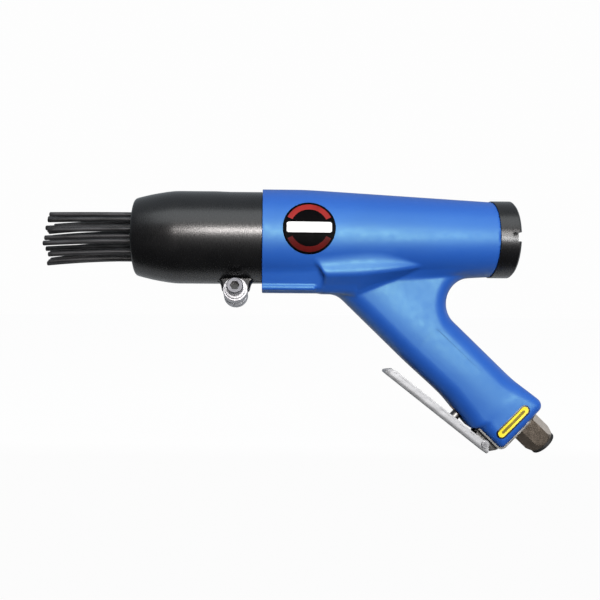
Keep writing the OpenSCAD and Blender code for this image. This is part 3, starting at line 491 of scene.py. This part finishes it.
def grip_field(x, w, z):
    front_corner, web_r = 17, 15.3
    foot_front_r, foot_rear_r, foot_edge_r = 3, 5.6, 0.7
    keel_in, roof_z, web_fade = 0.3, -6, 3
    t = (x - CROSS_X) * math.cos(LEAN) - z * math.sin(LEAN)
    n = (x - CROSS_X) * math.sin(LEAN) + z * math.cos(LEAN)
    front, back = grip_lines(t)
    turn = math.cos(LEAN)
    bottom = KEEL_Z + keel_in - z
    ahead = corner_join(bottom, front - n, front_corner, turn)
    belly = np.maximum(-z - barrel_radius(x) + web_fade * ramp(x, 168, 180), x - REAR_X)
    behind = corner_join(belly, n - back, web_r, -turn)
    ahead = round_meet(ahead, t - FOOT, foot_front_r)
    behind = round_meet(behind, t - FOOT, foot_rear_r)
    soft = edge_round(t)
    out_n = np.where(n > 0, behind, ahead) + soft
    out_w = w - grip_half_width(n - (front + back) / 2, t) + soft
    solid = (np.hypot(np.maximum(out_n, 0), np.maximum(out_w, 0))
             + np.minimum(np.maximum(out_n, out_w), 0) - soft)
    return round_meet(np.maximum(solid, z - roof_z), t - FOOT, foot_edge_r)


def housing_field(x, y, z):
    keel_r, face_r = 0.8, 0.35
    w = np.abs(y)
    grip_r = 0.4 + 4.6 * ramp(w, 9, 16)
    shoulder_r = 2.2 - 1.6 * ramp(x, 108, 138)
    body = round_join(barrel_field(x, w, z), keel_field(x, w, z), keel_r)
    body = round_join(body, grip_field(x, w, z), grip_r)
    body = round_join(body, shoulder_field(x, w, z), shoulder_r)
    return round_meet(body, HOUSE_X - x, face_r)


def slope_of(field, p):
    """Direction in which a field grows at each point."""
    small = 0.02
    out = np.empty_like(p)
    for k in range(3):
        step = np.zeros(3)
        step[k] = small
        out[:, k] = (field(*(p + step).T) - field(*(p - step).T)) / (2 * small)
    return out


def skin(name, field, axes):
    """Mesh of the closed surface where a field of distances is zero, found on a grid and then evened out."""
    rounds, closings = 5, 3
    longest_step, least_slope, evening = 0.6, 0.05, 0.5
    inside = field(*np.meshgrid(*axes, indexing="ij")) < 0
    cells = tuple(len(a) - 1 for a in axes)
    count = np.zeros(cells, int)
    for i in (0, 1):
        for j in (0, 1):
            for k in (0, 1):
                count += inside[i:i + cells[0], j:j + cells[1], k:k + cells[2]]
    crossed = (count > 0) & (count < 8)
    number = np.full(cells, -1)
    number[crossed] = np.arange(crossed.sum())
    middles = [(a[1:] + a[:-1]) / 2 for a in axes]
    points = np.stack([m[i] for m, i in zip(middles, np.nonzero(crossed))], axis=1)
    quads = []
    for d in range(3):
        one, two = [a for a in range(3) if a != d]
        lower = np.take(inside, range(cells[d]), axis=d)
        upper = np.take(inside, range(1, cells[d] + 1), axis=d)
        at = np.array(np.nonzero(lower != upper))
        at = at[:, (at[one] > 0) & (at[two] > 0) & (at[one] < cells[one]) & (at[two] < cells[two])]
        corners = []
        for a, b in ((0, 0), (1, 0), (1, 1), (0, 1)):
            cell = at.copy()
            cell[one] -= a
            cell[two] -= b
            corners.append(number[tuple(cell)])
        quad = np.stack(corners, axis=1)
        flip = lower[tuple(at)] == (d == 1)
        quad[flip] = quad[flip][:, ::-1]
        quads.append(quad)
    quads = np.concatenate(quads)
    pairs = np.concatenate([quads[:, [k, (k + 1) % 4]] for k in range(4)])
    ends = np.concatenate([pairs, pairs[:, ::-1]])
    share = np.bincount(ends[:, 0], minlength=len(points))[:, None]
    for turn in range(rounds):
        for close in range(closings):
            grad = slope_of(field, points)
            size = np.maximum((grad * grad).sum(1), least_slope)
            step = np.clip(field(*points.T) / size, -longest_step, longest_step)
            points = points - step[:, None] * grad
        if turn < rounds - 1:
            total = np.zeros_like(points)
            for k in range(3):
                total[:, k] = np.bincount(ends[:, 0], points[ends[:, 1], k], len(points))
            points = points + evening * (total / share - points)
    return drawn(name, points, faces=quads.tolist())


def cast_housing():
    coarse, fine = 0.9, 0.25
    rear_end, reach, lowest = 219, 31.5, -134.1
    ahead, past = 20, 5
    xs = np.concatenate([np.arange(HOUSE_X - 0.6, HOUSE_X + 1.4, fine),
                         np.arange(HOUSE_X + 1.5, rear_end, coarse)])
    ys = np.arange(-reach, reach + 0.1, coarse)
    zs = np.arange(lowest, reach + 0.1, coarse)
    obj = skin("cast_housing", housing_field, (xs, ys, zs))
    merge(obj)
    bore = [(ahead, 0), (ahead, BORE_R), (STEP_X, BORE_R), (STEP_X, SLEEVE_R),
            (REAR_X + past, SLEEVE_R), (REAR_X + past, 0)]
    cut(obj, turned("bore", bore))
    inlet = turned("inlet_bore", [(FOOT - INLET_DEEP, 0), (FOOT - INLET_DEEP, INLET_R),
                                  (FOOT + 9, INLET_R), (FOOT + 9, 0)], 64)
    inlet.data.transform(local(INLET))
    cut(obj, inlet)
    bush = turned("bush_bore", [(-30, 0), (-30, BUSH_R), (BUSH_END, BUSH_R), (BUSH_END, 0)], 64)
    bush.data.transform(local(STEM))
    cut(obj, bush)
    for side in (-1, 1):
        cut(obj, panel_tool(side))
    seat(obj, BARREL)
    shade(obj, 40)
    put(obj, "tool", "blue_casting", [BLUE], "housing")


def local(place):
    """A frame in millimetres."""
    out = place.copy()
    out.translation = place.translation / MM
    return out


def panel_tool(side):
    """Cutter for the shallow panel on one side of the grip, which runs out toward the foot."""
    depth, r = 0.4, 2.5
    t0, t1, n = 87, 136, 8
    inner_y, past, core_n, run_out = 8, 5, 12, 40
    outline = (arc(t1 - r, n - r, r, 0, 90, 6) + arc(t0 + r, n - r, r, 90, 180, 6)
               + arc(t0 + r, r - n, r, 180, 270, 6) + arc(t1 - r, r - n, r, 270, 360, 6))
    ends = sorted((side * inner_y, side * (HANDLE_HALF_WIDTH + 3)))
    tool = prism("panel", outline, *ends)
    bow = [(k, float(grip_half_width(k, 100)) - depth) for k in range(-core_n, core_n + 1, 2)]
    core = prism("panel_core", bow + [(core_n, 2), (-core_n, 2)], t0 - past, t1 + past)
    core.data.transform(Matrix(((0, 1, 0, 0), (0, 0, side, 0), (1, 0, 0, 0), (0, 0, 0, 1))))
    merge(core)
    for v in core.data.vertices:
        if abs(v.co.y) > past:
            v.co.y += side * (depth + 0.1) * (v.co.x - t0) / run_out
    cut(tool, core)
    tool.data.transform(local(HANDLE))
    return tool


# Black front tube, with its nose, its split and the root of the clamp
def clamp_turned(obj):
    """Turns a piece drawn straight under the tube to the clamp's side."""
    obj.data.transform(Matrix.Rotation(-CLAMP_TURN, 4, "X"))
    return obj


def tube_body():
    """Turned tube: straight at the rear, a seat in the middle, and a nose that narrows to the front."""
    rear_r, lip = TUBE_R - 0.3, 0.35
    mouth_r, shelf_x, shelf_r = 17, -33.3, 20
    outer = [(TUBE_END + lip, 28.2), (TUBE_END + 0.2, rear_r), (SEAT_HALF + 9, rear_r),
             (SEAT_HALF, TUBE_R), (-10, TUBE_R), (-13, 28.66), (-17.5, 28.15), (-22.5, 27.35),
             (-27.5, 26.4), (-32.5, 25.2), (-35.6, 24.4), (-36.6, 23.95), (-37.1, 23.4), (NOSE_X, 22.7)]
    inner = [(NOSE_X, mouth_r + 0.6), (NOSE_X + 0.6, mouth_r), (shelf_x, mouth_r), (shelf_x, shelf_r),
             (-10, shelf_r), (-10, BORE_R), (TUBE_END - 0.5, BORE_R), (TUBE_END + lip, BORE_R + 0.5)]
    return turned("front_tube_body", outer + inner, 128, closed=True)


def clamp_root():
    """Waisted root under the tube that carries the lugs."""
    top, neck, end = -24, -30.5, -(LUG_REACH - 1)
    neck_half, lug_in = 8.9, 3.2
    half = SLIT / 2 + LUG_LEN - lug_in
    side = [(neck_half + 4.5, top), (neck_half + 3.1, -27.6), (neck_half + 1.2, -28.9),
            (neck_half + 0.3, neck), (neck_half, neck - 1.38), (neck_half - 0.5, end)]
    outline = side + [(-x, z) for x, z in reversed(side)]
    root = prism("root", [(CLAMP_X + x, z) for x, z in outline], -half, half)
    ease(root, 1.6, 60, 4)
    clamp_turned(root)
    cut(root, turned("tube_bore", [(-9, 0), (-9, BORE_R), (60, BORE_R), (60, 0)], 128))
    return root


def slit_cutter():
    past_end, past_lug, top = TUBE_END + 3, -LUG_REACH - 8, -8
    outline = [(SLIT_X, past_lug), (past_end, past_lug), (past_end, top), (SLIT_X, top)]
    return clamp_turned(prism("slit", outline, -SLIT / 2, SLIT / 2))


def slit_end_cutter():
    """Round hole at the blind end of the slit."""
    low, high, r = 8, 46, 1.2
    hole = turned("relief", [(low, 0), (low, r), (high, r), (high, 0)], 32)
    hole.data.transform(Matrix.Translation((SLIT_X, 0, 0)) @ Matrix.Rotation(math.pi / 2, 4, "Y"))
    return clamp_turned(hole)


def lug_cutter():
    gap, half = 0.02, 12
    room = LUG_R + gap
    lug = turned("lug_bore", [(-half, 0), (-half, room), (half, room), (half, 0)], 64)
    lug.data.transform(local(CLAMP) @ Matrix.Rotation(-math.pi / 2, 4, "Y"))
    return lug


def front_tube():
    obj = tube_body()
    cut(obj, clamp_root(), "UNION")
    cut(obj, slit_cutter())
    cut(obj, slit_end_cutter())
    cut(obj, lug_cutter())
    seat(obj, BARREL)
    shade(obj, 30)
    put(obj, "nose", "black_steel", [BLACK], "front_tube")


# Needles: one in the middle, an inner ring of 6 and an outer ring of 12
def needle_spot(i):
    """Place of a needle across the bundle."""
    if i == 1:
        return 0, 0
    if i <= 7:
        angle, r = math.radians(60 * i), RING_PITCH
    else:
        angle, r = math.radians(30 * i + 15), 2 * RING_PITCH
    return r * math.cos(angle), r * math.sin(angle)


def needles():
    """Worn wires that spread and sag a little past the nose, and stay straight where the guide can slide."""
    luck = random.Random(7)
    spread, sag, far_sag = 0.08, 1.6, 1.7
    free = NOSE_X - NOSE_TRAVEL
    stations, chamfer = 14, 0.5
    head = NEEDLE_BACK - NEEDLE_HEAD_LEN
    for i in range(1, NEEDLE_COUNT + 1):
        y, z = needle_spot(i)
        far = y > 1 and abs(z - 2) < 13
        drift_y = luck.uniform(-0.5, 0.5)
        drift_z = spread * z - sag - far_sag * far + luck.uniform(-0.3, 0.3)
        tip = NEEDLE_TIP + max(2 - 0.15 * y + luck.uniform(-1.5, 2), 0)
        worn = luck.uniform(0.25, 0.5)
        run = NOSE_X - tip - chamfer
        profile = [(tip, 0), (tip, NEEDLE_R - worn), (tip + 0.15, NEEDLE_R - worn * 0.4)]
        profile += [(tip + chamfer + run * k / stations, NEEDLE_R) for k in range(stations + 1)]
        profile += [(head, NEEDLE_R), (head, NEEDLE_HEAD_R), (NEEDLE_BACK, NEEDLE_HEAD_R), (NEEDLE_BACK, 0)]
        obj = turned(f"needle_wire_{i:02d}", profile, 20)
        for v in obj.data.vertices:
            out = max(0, (free - v.co.x) / (free - NEEDLE_TIP))
            bend = out * (0.4 + 0.6 * out)
            v.co.y += y + drift_y * bend
            v.co.z += z + drift_z * bend
        seat(obj, BARREL)
        shade(obj, 40)
        put(obj, "needle_pack", "needle_steel", [NEEDLE], f"needle_{i:02d}")


# Wound springs
def spring(name, r, low, high, wire, curls):
    """Closed wire coil along X, with flat end curls."""
    steps = 24
    ends = wire * 1.02
    points = []
    for k in range(int(curls * steps) + 1):
        turn = k / steps
        lead = min(max((turn - 1) / (curls - 2), 0), 1)
        rise = wire / 2 + min(turn, 1) * ends + lead * (high - low - wire - 2 * ends)
        rise += max(turn - curls + 1, 0) * ends
        a = 2 * math.pi * turn
        points.append((low + rise, r * math.cos(a), r * math.sin(a)))
    curve = bpy.data.curves.new(name, "CURVE")
    curve.dimensions = "3D"
    curve.bevel_depth = wire / 2
    curve.bevel_resolution = 3
    curve.use_fill_caps = True
    line = curve.splines.new("POLY")
    line.points.add(len(points) - 1)
    for spot, p in zip(line.points, points):
        spot.co = (*p, 1)
    obj = bpy.data.objects.new(name, curve)
    bpy.context.scene.collection.objects.link(obj)
    pick(obj)
    bpy.ops.object.convert(target="MESH")
    shade(obj, 60)
    return obj


def springs():
    coil = spring("needle_coil", 18.2, SPRING_FRONT, SPRING_BACK, 2.4, 14)
    seat(coil, BARREL)
    put(coil, "nose", "tool_steel", [TOOL_STEEL], "needle_spring")
    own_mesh(coil)
    coil = spring("throttle_coil", 4, STEM_SPRING_FRONT, STEM_SPRING_BACK, 1, 5)
    seat(coil, STEM)
    put(coil, "tool", "bright_steel", [BRIGHT], "throttle_spring")
    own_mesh(coil)


# Soft rings
def ring_profile(low, high, inner, outer, soft):
    corners = [(high - soft, outer - soft, 0), (low + soft, outer - soft, 90),
               (low + soft, inner + soft, 180), (high - soft, inner + soft, 270)]
    profile = []
    for x, r, start in corners:
        profile += arc(x, r, soft, start, start + 90, 4)
    return profile


def soft_ring(name, node, body, place, low, high, inner, outer, soft, slot="rubber", material=None):
    obj = turned(name, ring_profile(low, high, inner, outer, soft), 64, closed=True)
    seat(obj, place)
    shade(obj, 50)
    put(obj, body, slot, [material or RUBBER], node)


def soft_rings():
    """Each ring has its two ends along its frame, its inner and outer radius and its edge radius."""
    soft_ring("inlet_end_ring", "inlet_seal", "tool", INLET, 186, 188.2, 6.4, 8.2, 0.5)
    soft_ring("inlet_washer", "inlet_gasket", "tool", INLET, 169.2, 170, 8.2, 9, 0.2)
    soft_ring("cap_ring", "end_cap_seal", "tool", BARREL, 181, 182.65, 16.3, 17.95, 0.8)
    soft_ring("stem_ring", "stem_seal", "tool", STEM, -16.25, -14.85, 3.06, 4.46, 0.68)
    soft_ring("buffer_ring", "anvil_buffer", "tool", BARREL, 97.1, 100.1, 13, 20.8, 0.5)
    soft_ring("packing_ring", "valve_packing", "tool", BARREL, 172.45, 173.45, 12, 15.8, 0.2,
              "bronze", BRONZE)


# Pieces whose edges are eased on a copy of the part's own solid
def eased(name, node, body, slot, material, width, angle=35, segments=2):
    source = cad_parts[node]
    obj = bpy.data.objects.new(name, source.data.copy())
    bpy.context.scene.collection.objects.link(obj)
    edit(obj)
    bpy.ops.mesh.remove_doubles(threshold=0.000002)
    bpy.ops.mesh.dissolve_limited(angle_limit=math.radians(0.6))
    leave()
    ease(obj, width * MM, angle, segments)
    shade(obj, 40)
    finish_modifier(obj, "WEIGHTED_NORMAL", keep_sharp=True)
    put(obj, body, slot, [material], node)
    return obj


def steel_pieces():
    eased("cap_body", "end_cap", "tool", "black_steel", BLACK, 0.5)
    eased("lug_pair", "clamp_lugs", "nose", "bright_steel", CLAMP_STEEL, 0.4)
    eased("washer_body", "clamp_washer", "nose", "bright_steel", CLAMP_STEEL, 0.3)
    eased("nut_body", "clamp_nut", "nose", "bright_steel", CLAMP_STEEL, 0.35)
    eased("bracket_sheet", "lever_bracket", "tool", "bright_steel", BRACKET_STEEL, 0.25)
    eased("hinge_rivet", "lever_pin", "tool", "bright_steel", BRIGHT, 0.3)
    eased("valve_button", "throttle_stem", "throttle_valve", "bright_steel", BRACKET_STEEL, 0.3)
    eased("bush_body", "throttle_bush", "tool", "bronze", BRONZE, 0.25)
    eased("inlet_body", "inlet_bushing", "tool", "nickel_steel", NICKEL, 0.3)


def screw_with_painted_socket_shade():
    """Clamp screw whose hexagon socket is painted black inside, as painted shade in the recess."""
    socket_r, socket_deep, rim = 3 * MM, 3.2 * MM, 0.2 * MM
    obj = eased("screw_body", "clamp_screw", "nose", "bright_steel", SCREW_STEEL, 0.15)
    # Painted shade: black is added for the faces inside the hexagon socket, where shade falls
    obj.data.materials.append(BLACK)
    home = CLAMP.inverted()
    top = max((home @ v.co).z for v in obj.data.vertices)
    for face in obj.data.polygons:
        spot = home @ face.center
        if math.hypot(spot.x, spot.y) < socket_r and rim < top - spot.z < socket_deep:
            face.material_index = 1


def bracket_corners():
    """Ears of the bracket at the hinge, one on each side between the lever's walls."""
    inner_y, outer_y = 5.05, 6.15
    outline = [(150.5, -17.2), (168.4, -17.2), (167.4, -19.2), (165.2, -22.2), (163.2, -22.2), (159, -19.2)]
    for side, name in ((-1, "near"), (1, "far")):
        low, high = sorted((side * inner_y, side * outer_y))
        obj = prism(f"bracket_corner_{name}", outline, low, high)
        ease(obj, 0.15)
        seat(obj, HANDLE)
        shade(obj, 35)
        put(obj, "tool", "bright_steel", [BRACKET_STEEL])


# Stamped lever: one sheet bent to a channel, with eyes for the hinge and walls cut to a slant at the tip
LEVER_FLOOR = -4.0
LEVER_TOP = 1.4
LEVER_LEN = 75
LEVER_SHEET = 1.6
LEVER_SLANT = 3.8
LEVER_EYE = 2.8
LEVER_BACK = 4.5
LEVER_HALF_WIDTH = 8


def lever_wall_top(s):
    """Height of the lever's walls at a place along it: round eyes at the hinge, a slant at the tip."""
    floor_top = LEVER_FLOOR + LEVER_SHEET
    if s < -LEVER_EYE:
        return floor_top - (s + LEVER_BACK) / (LEVER_BACK - LEVER_EYE) * floor_top
    if s < LEVER_EYE:
        return max(math.sqrt(LEVER_EYE ** 2 - s * s), LEVER_TOP if s > 0 else 0)
    past = max(s - LEVER_LEN + LEVER_SLANT, 0) / LEVER_SLANT
    return LEVER_TOP + past * (floor_top - LEVER_TOP)


def lever_row(s):
    """Points of the bent sheet across the lever, from one wall's top to the other's."""
    bend, groove_deep, wall_tall = 1.3, 0.35, 2.6
    tip_start, tip_in = 71.2, 0.12
    floor = LEVER_FLOOR + LEVER_SHEET / 2
    top = max(lever_wall_top(s), floor + 0.3)
    mid = LEVER_HALF_WIDTH - LEVER_SHEET / 2 - tip_in * max(s - tip_start, 0) ** 2
    start = math.asin(min(max((floor + bend - top) / bend, 0), 1))
    turns = [start + (math.pi / 2 - start) * k / 5 for k in range(6)]
    curl = [(s, -mid + bend - bend * math.cos(a), floor + bend - bend * math.sin(a)) for a in turns]
    groove = groove_deep if top > LEVER_FLOOR + 4 else 0
    drops = [(0, 0), (0.75, 0), (0.95, groove), (1.35, groove), (1.55, 0), (2.2, 0)]
    tall = (top - curl[0][2]) / wall_tall
    side = -mid + bend - bend * math.cos(start)
    wall = [(s, side + into, top - min(drop, drop * tall)) for drop, into in drops]
    half = wall + curl
    return half + [(s, 0, floor)] + [(x, -y, z) for x, y, z in reversed(half)]


def lever():
    stations = [-LEVER_BACK, -3.8, -3.2] + [-LEVER_EYE + 0.7 * k for k in range(9)]
    stations += [4 + 8 * k for k in range(9)] + [70, 71.2, 72.2, 73.2, 74.1, LEVER_LEN]
    rows = [lever_row(s) for s in stations]
    wide = len(rows[0])
    faces = [(r * wide + c, r * wide + c + 1, (r + 1) * wide + c + 1, (r + 1) * wide + c)
             for r in range(len(rows) - 1) for c in range(wide - 1)]
    obj = drawn("lever_sheet", [p for row in rows for p in row], faces=faces)
    merge(obj)
    finish_modifier(obj, "SOLIDIFY", thickness=LEVER_SHEET, offset=0, use_even_offset=True)
    ease(obj, 0.25, 50)
    merge(obj, 0.001)
    seat(obj, LEVER)
    shade(obj, 40)
    finish_modifier(obj, "WEIGHTED_NORMAL", keep_sharp=True)
    put(obj, "lever", "bright_steel", [LEVER_STEEL], "throttle_lever")


# Round plate on the barrel and the label on the grip, both bare
def on_barrel(x, z, up):
    """Point on the barrel's near side, lifted off its surface."""
    return (x, -math.sqrt(float(barrel_radius(x)) ** 2 - z * z) - up, z)


def color_faces(obj, numbers):
    for face, number in zip(obj.data.polygons, numbers):
        face.material_index = number


def round_plate():
    """Thin plate with a raised rim and a coloured arc above and below its middle."""
    radius, face_up, rim_up, edge_up, sunk = 15.5, 0.44, 0.52, 0.3, -0.4
    flat = [0.6, 2, 4, 6, 8, 9.2, 9.8, 11, 12.4, 13.7, 14.2]
    rings = [(r, face_up) for r in flat]
    rings += [(14.6, rim_up), (15.1, rim_up), (radius, edge_up), (radius, sunk)]
    arc_rings, arc_half = (7, 8, 9), 62
    spokes = 96
    points, faces, finish = [on_barrel(PLATE_X, PLATE_Z, face_up)], [], []
    for r, up in rings:
        for k in range(spokes):
            a = 2 * math.pi * k / spokes
            points.append(on_barrel(PLATE_X + r * math.cos(a), PLATE_Z + r * math.sin(a), up))
    for k in range(spokes):
        faces.append((0, 1 + k, 1 + (k + 1) % spokes))
        finish.append(0)
    for ring in range(len(rings) - 1):
        for k in range(spokes):
            a, b = 1 + ring * spokes + k, 1 + ring * spokes + (k + 1) % spokes
            faces.append((a, a + spokes, b + spokes, b))
            turn = (k + 0.5) / spokes * 360
            in_arc = ring in arc_rings and abs(turn % 180 - 90) < arc_half
            finish.append(0 if not in_arc else 1 if turn < 180 else 2)
    obj = drawn("plain_plate", points, faces=faces)
    edit(obj)
    bpy.ops.mesh.normals_make_consistent(inside=False)
    leave()
    seat(obj, BARREL)
    shade(obj, 40)
    put(obj, "tool", "plate_black", [PLATE_BLACK, PLATE_RED, PLATE_DARK_RED], "round_plate")
    color_faces(obj, finish)


def plate_bar():
    """Plain white bar across the round plate."""
    middle_z, long, tall, lift = PLATE_Z + 0.3, 26.4, 6.2, 0.45
    end_start, end_tall = 0.97, 0.75
    across, up = 28, 4
    points = []
    for i in range(across + 1):
        share = abs(2 * i / across - 1)
        for j in range(up + 1):
            x = PLATE_X + long * (i / across - 0.5)
            z = middle_z + tall * (j / up - 0.5) * (1 if share < end_start else end_tall)
            points.append(on_barrel(x, z, lift))
    faces = [(i * (up + 1) + j, i * (up + 1) + j + 1, (i + 1) * (up + 1) + j + 1, (i + 1) * (up + 1) + j)
             for i in range(across) for j in range(up)]
    obj = drawn("plate_bar", points, faces=faces)
    finish_modifier(obj, "SOLIDIFY", thickness=0.12, offset=0)
    merge(obj)
    seat(obj, BARREL)
    shade(obj, 40)
    put(obj, "tool", "plate_black", [PLATE_WHITE])


LABEL_ARC = 12
LABEL_SIDE = 14


def label_outline(half_len, half_w):
    """Capsule of (along, across), from the upper end round its left side to the lower end and back."""
    run = half_len - half_w
    arcs = [math.pi * k / LABEL_ARC for k in range(LABEL_ARC + 1)]
    sides = [run - 2 * run * (k + 1) / (LABEL_SIDE + 1) for k in range(LABEL_SIDE)]
    top = [(half_w * math.cos(a), run + half_w * math.sin(a)) for a in arcs]
    left = [(-half_w, n) for n in sides]
    return top + left + [(-t, -n) for t, n in top + left]


def grip_side(t, n):
    """Half width of the grip's flank at a place along and across it."""
    front, back = (float(v) for v in grip_lines(np.array(t)))
    soft = float(edge_round(np.array(t)))
    off = n - (front + back) / 2
    over = max(abs(off) - ((back - front) / 2 - soft), 0)
    return float(grip_half_width(off, t)) - soft + math.sqrt(soft ** 2 - over ** 2)


def plain_label():
    """Label in rings of half length, half width and height: a border, a field and a plain bar in it."""
    middle = FOOT - LABEL_UP
    border_end, bar_start = 3, 5
    layers = [(13, 3.1, -0.3), (13, 3.1, 0.25), (12.8, 2.9, 0.32), (12.05, 2.15, 0.32), (11.95, 2.05, 0.3),
              (9.6, 0.85, 0.3), (9.4, 0.55, 0.3), (9.2, 0.3, 0.3)]
    points, faces, finish = [], [], []
    count = 2 * (LABEL_ARC + 1 + LABEL_SIDE)
    for half_len, half_w, up in layers:
        for t, n in label_outline(half_len, half_w):
            points.append((middle + t, -grip_side(middle + t, n) - up, n))
    for layer in range(len(layers) - 1):
        for k in range(count):
            a, b = layer * count + k, layer * count + (k + 1) % count
            faces.append((a, b, b + count, a + count))
            finish.append(1 if layer < border_end else 2 if layer >= bar_start else 0)
    last = (len(layers) - 1) * count
    apex = LABEL_ARC // 2
    for k in range(count // 2):
        ring = [last + (apex + k) % count, last + (apex + k + 1) % count,
                last + (apex - k - 1) % count, last + (apex - k) % count]
        faces.append(tuple(dict.fromkeys(ring)))
        finish.append(2)
    obj = drawn("plain_label", points, faces=faces)
    edit(obj)
    bpy.ops.mesh.normals_make_consistent(inside=False)
    leave()
    seat(obj, HANDLE)
    shade(obj, 40)
    put(obj, "tool", "label_yellow", [LABEL_YELLOW, LABEL_BLACK, LABEL_DARK], "oiling_label")
    color_faces(obj, finish)


# Hose thread in the inlet
def inlet_thread():
    pitch, low, high, root, deep = 1.41, 171.4, 185.4, 5.95, 0.55
    turns = int((high - low) / pitch)
    crest = root - deep
    profile = [(low, 0, root), (low + 0.35 * pitch, 0, crest),
               (low + 0.5 * pitch, 0, crest), (low + 0.85 * pitch, 0, root)]
    obj = drawn("inlet_thread", profile, edges=[(0, 1), (1, 2), (2, 3)])
    finish_modifier(obj, "SCREW", axis="X", angle=2 * math.pi * turns, screw_offset=pitch * turns,
                    steps=40 * turns, render_steps=40 * turns)
    edit(obj)
    bpy.ops.mesh.normals_make_consistent(inside=True)
    leave()
    seat(obj, INLET)
    shade(obj, 50)
    put(obj, "tool", "nickel_steel", [NICKEL])


# Inner pieces that keep the part's own solids
def inner_pieces():
    finishes = {"cylinder": TOOL_STEEL, "anvil": TOOL_STEEL, "anvil_bush": BRONZE, "piston": TOOL_STEEL,
                "valve_seat": TOOL_STEEL, "valve_disc": TOOL_STEEL, "valve_cap": TOOL_STEEL,
                "needle_holder": TOOL_STEEL, "needle_guide": BLACK, "inlet_screen": BRONZE}
    for node, material in finishes.items():
        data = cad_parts[node].data
        data.materials.clear()
        data.materials.append(material)


# Floor, lamps and surroundings
def light(name, place, target, width, height, power, color):
    """Rectangular lamp that looks at its target."""
    data = bpy.data.lights.new(name, "AREA")
    data.shape = "RECTANGLE"
    data.size = width
    data.size_y = height
    data.energy = power
    data.color = color
    lamp = bpy.data.objects.new(name, data)
    bpy.context.scene.collection.objects.link(lamp)
    lamp.location = place
    lamp.rotation_euler = (Vector(target) - Vector(place)).to_track_quat("-Z", "Y").to_euler()


def floor_finish():
    """White for the camera, and for the tool's sheen a floor that is dark in front and light behind."""
    material = bpy.data.materials.new("floor_white")
    material.use_nodes = True
    tree = material.node_tree
    shader = tree.nodes["Principled BSDF"]
    shader.inputs["Roughness"].default_value = 0.9
    place = tree.nodes.new("ShaderNodeTexCoord")
    axes = tree.nodes.new("ShaderNodeSeparateXYZ")
    tree.links.new(place.outputs["Object"], axes.inputs["Vector"])
    tone = tree.nodes.new("ShaderNodeMapRange")
    tone.inputs["From Min"].default_value = -0.02
    tone.inputs["From Max"].default_value = 0.02
    tone.inputs["To Min"].default_value = 0.04
    tone.inputs["To Max"].default_value = 0.7
    tree.links.new(axes.outputs["Y"], tone.inputs["Value"])
    tree.links.new(tone.outputs["Result"], shader.inputs["Base Color"])
    path = tree.nodes.new("ShaderNodeLightPath")
    share = tree.nodes.new("ShaderNodeMath")
    share.operation = "MULTIPLY"
    share.inputs[1].default_value = 0.97
    tree.links.new(path.outputs["Is Camera Ray"], share.inputs[0])
    white = tree.nodes.new("ShaderNodeEmission")
    white.inputs["Strength"].default_value = 1
    mix = tree.nodes.new("ShaderNodeMixShader")
    tree.links.new(share.outputs[0], mix.inputs["Fac"])
    tree.links.new(shader.outputs["BSDF"], mix.inputs[1])
    tree.links.new(white.outputs["Emission"], mix.inputs[2])
    tree.links.new(mix.outputs["Shader"], tree.nodes["Material Output"].inputs["Surface"])
    return material


def white_floor():
    gap, reach = 0.0005, 4
    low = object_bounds()[0][2]
    bpy.ops.object.select_all(action="DESELECT")
    bpy.ops.mesh.primitive_circle_add(vertices=96, radius=reach, fill_type="NGON",
                                      location=(0.05, 0, low - gap))
    floor = bpy.context.object
    floor.name = "floor"
    floor.data.materials.append(floor_finish())


def lamps():
    middle = (0.06, 0, -0.02)
    light("strip", (0.2, -0.96, 0.24), middle, 0.6, 0.17, 8, (1, 0.97, 0.95))
    light("short_strip", (0.015, -0.96, 0.23), middle, 0.2, 0.13, 3, (1, 0.92, 0.9))
    light("low_box", (0.4, -0.93, 0.01), (0.15, 0, -0.06), 0.36, 0.1, 5.2, (1, 1, 1))
    light("side_box", (0.67, 0.34, 0.06), (0.2, 0, -0.11), 0.16, 0.16, 0.1, (1, 1, 1))
    light("top_box", (0.1, -0.62, 0.72), middle, 1.3, 0.6, 5.5, (0.94, 0.98, 1))


def surroundings():
    """White for the camera, and for the tool a room that is dark low in front and light high behind."""
    world = bpy.data.worlds.new("studio")
    bpy.context.scene.world = world
    world.use_nodes = True
    tree = world.node_tree
    ground = tree.nodes["Background"]
    ground.inputs["Strength"].default_value = 1
    around = tree.nodes.new("ShaderNodeTexCoord")
    split = tree.nodes.new("ShaderNodeSeparateXYZ")
    tree.links.new(around.outputs["Generated"], split.inputs["Vector"])
    lean = tree.nodes.new("ShaderNodeMath")
    lean.operation = "ADD"
    tree.links.new(split.outputs["Y"], lean.inputs[0])
    tree.links.new(split.outputs["Z"], lean.inputs[1])
    spread = tree.nodes.new("ShaderNodeMapRange")
    spread.inputs["From Min"].default_value = -1.4
    spread.inputs["From Max"].default_value = 1.4
    tree.links.new(lean.outputs[0], spread.inputs["Value"])
    shades = tree.nodes.new("ShaderNodeValToRGB")
    shades.color_ramp.elements[0].position = 0.25
    shades.color_ramp.elements[0].color = (0.03, 0.03, 0.03, 1)
    shades.color_ramp.elements[1].position = 0.75
    shades.color_ramp.elements[1].color = (0.44, 0.48, 0.52, 1)
    tree.links.new(spread.outputs["Result"], shades.inputs["Fac"])
    path = tree.nodes.new("ShaderNodeLightPath")
    mix = tree.nodes.new("ShaderNodeMix")
    mix.data_type = "RGBA"
    mix.inputs["B"].default_value = (0.985, 0.985, 0.985, 1)
    tree.links.new(path.outputs["Is Camera Ray"], mix.inputs["Factor"])
    tree.links.new(shades.outputs["Color"], mix.inputs["A"])
    tree.links.new(mix.outputs["Result"], ground.inputs["Color"])


cast_housing()
front_tube()
needles()
springs()
soft_rings()
steel_pieces()
screw_with_painted_socket_shade()
bracket_corners()
lever()
round_plate()
plate_bar()
plain_label()
inlet_thread()
inner_pieces()
white_floor()
lamps()
surroundings()
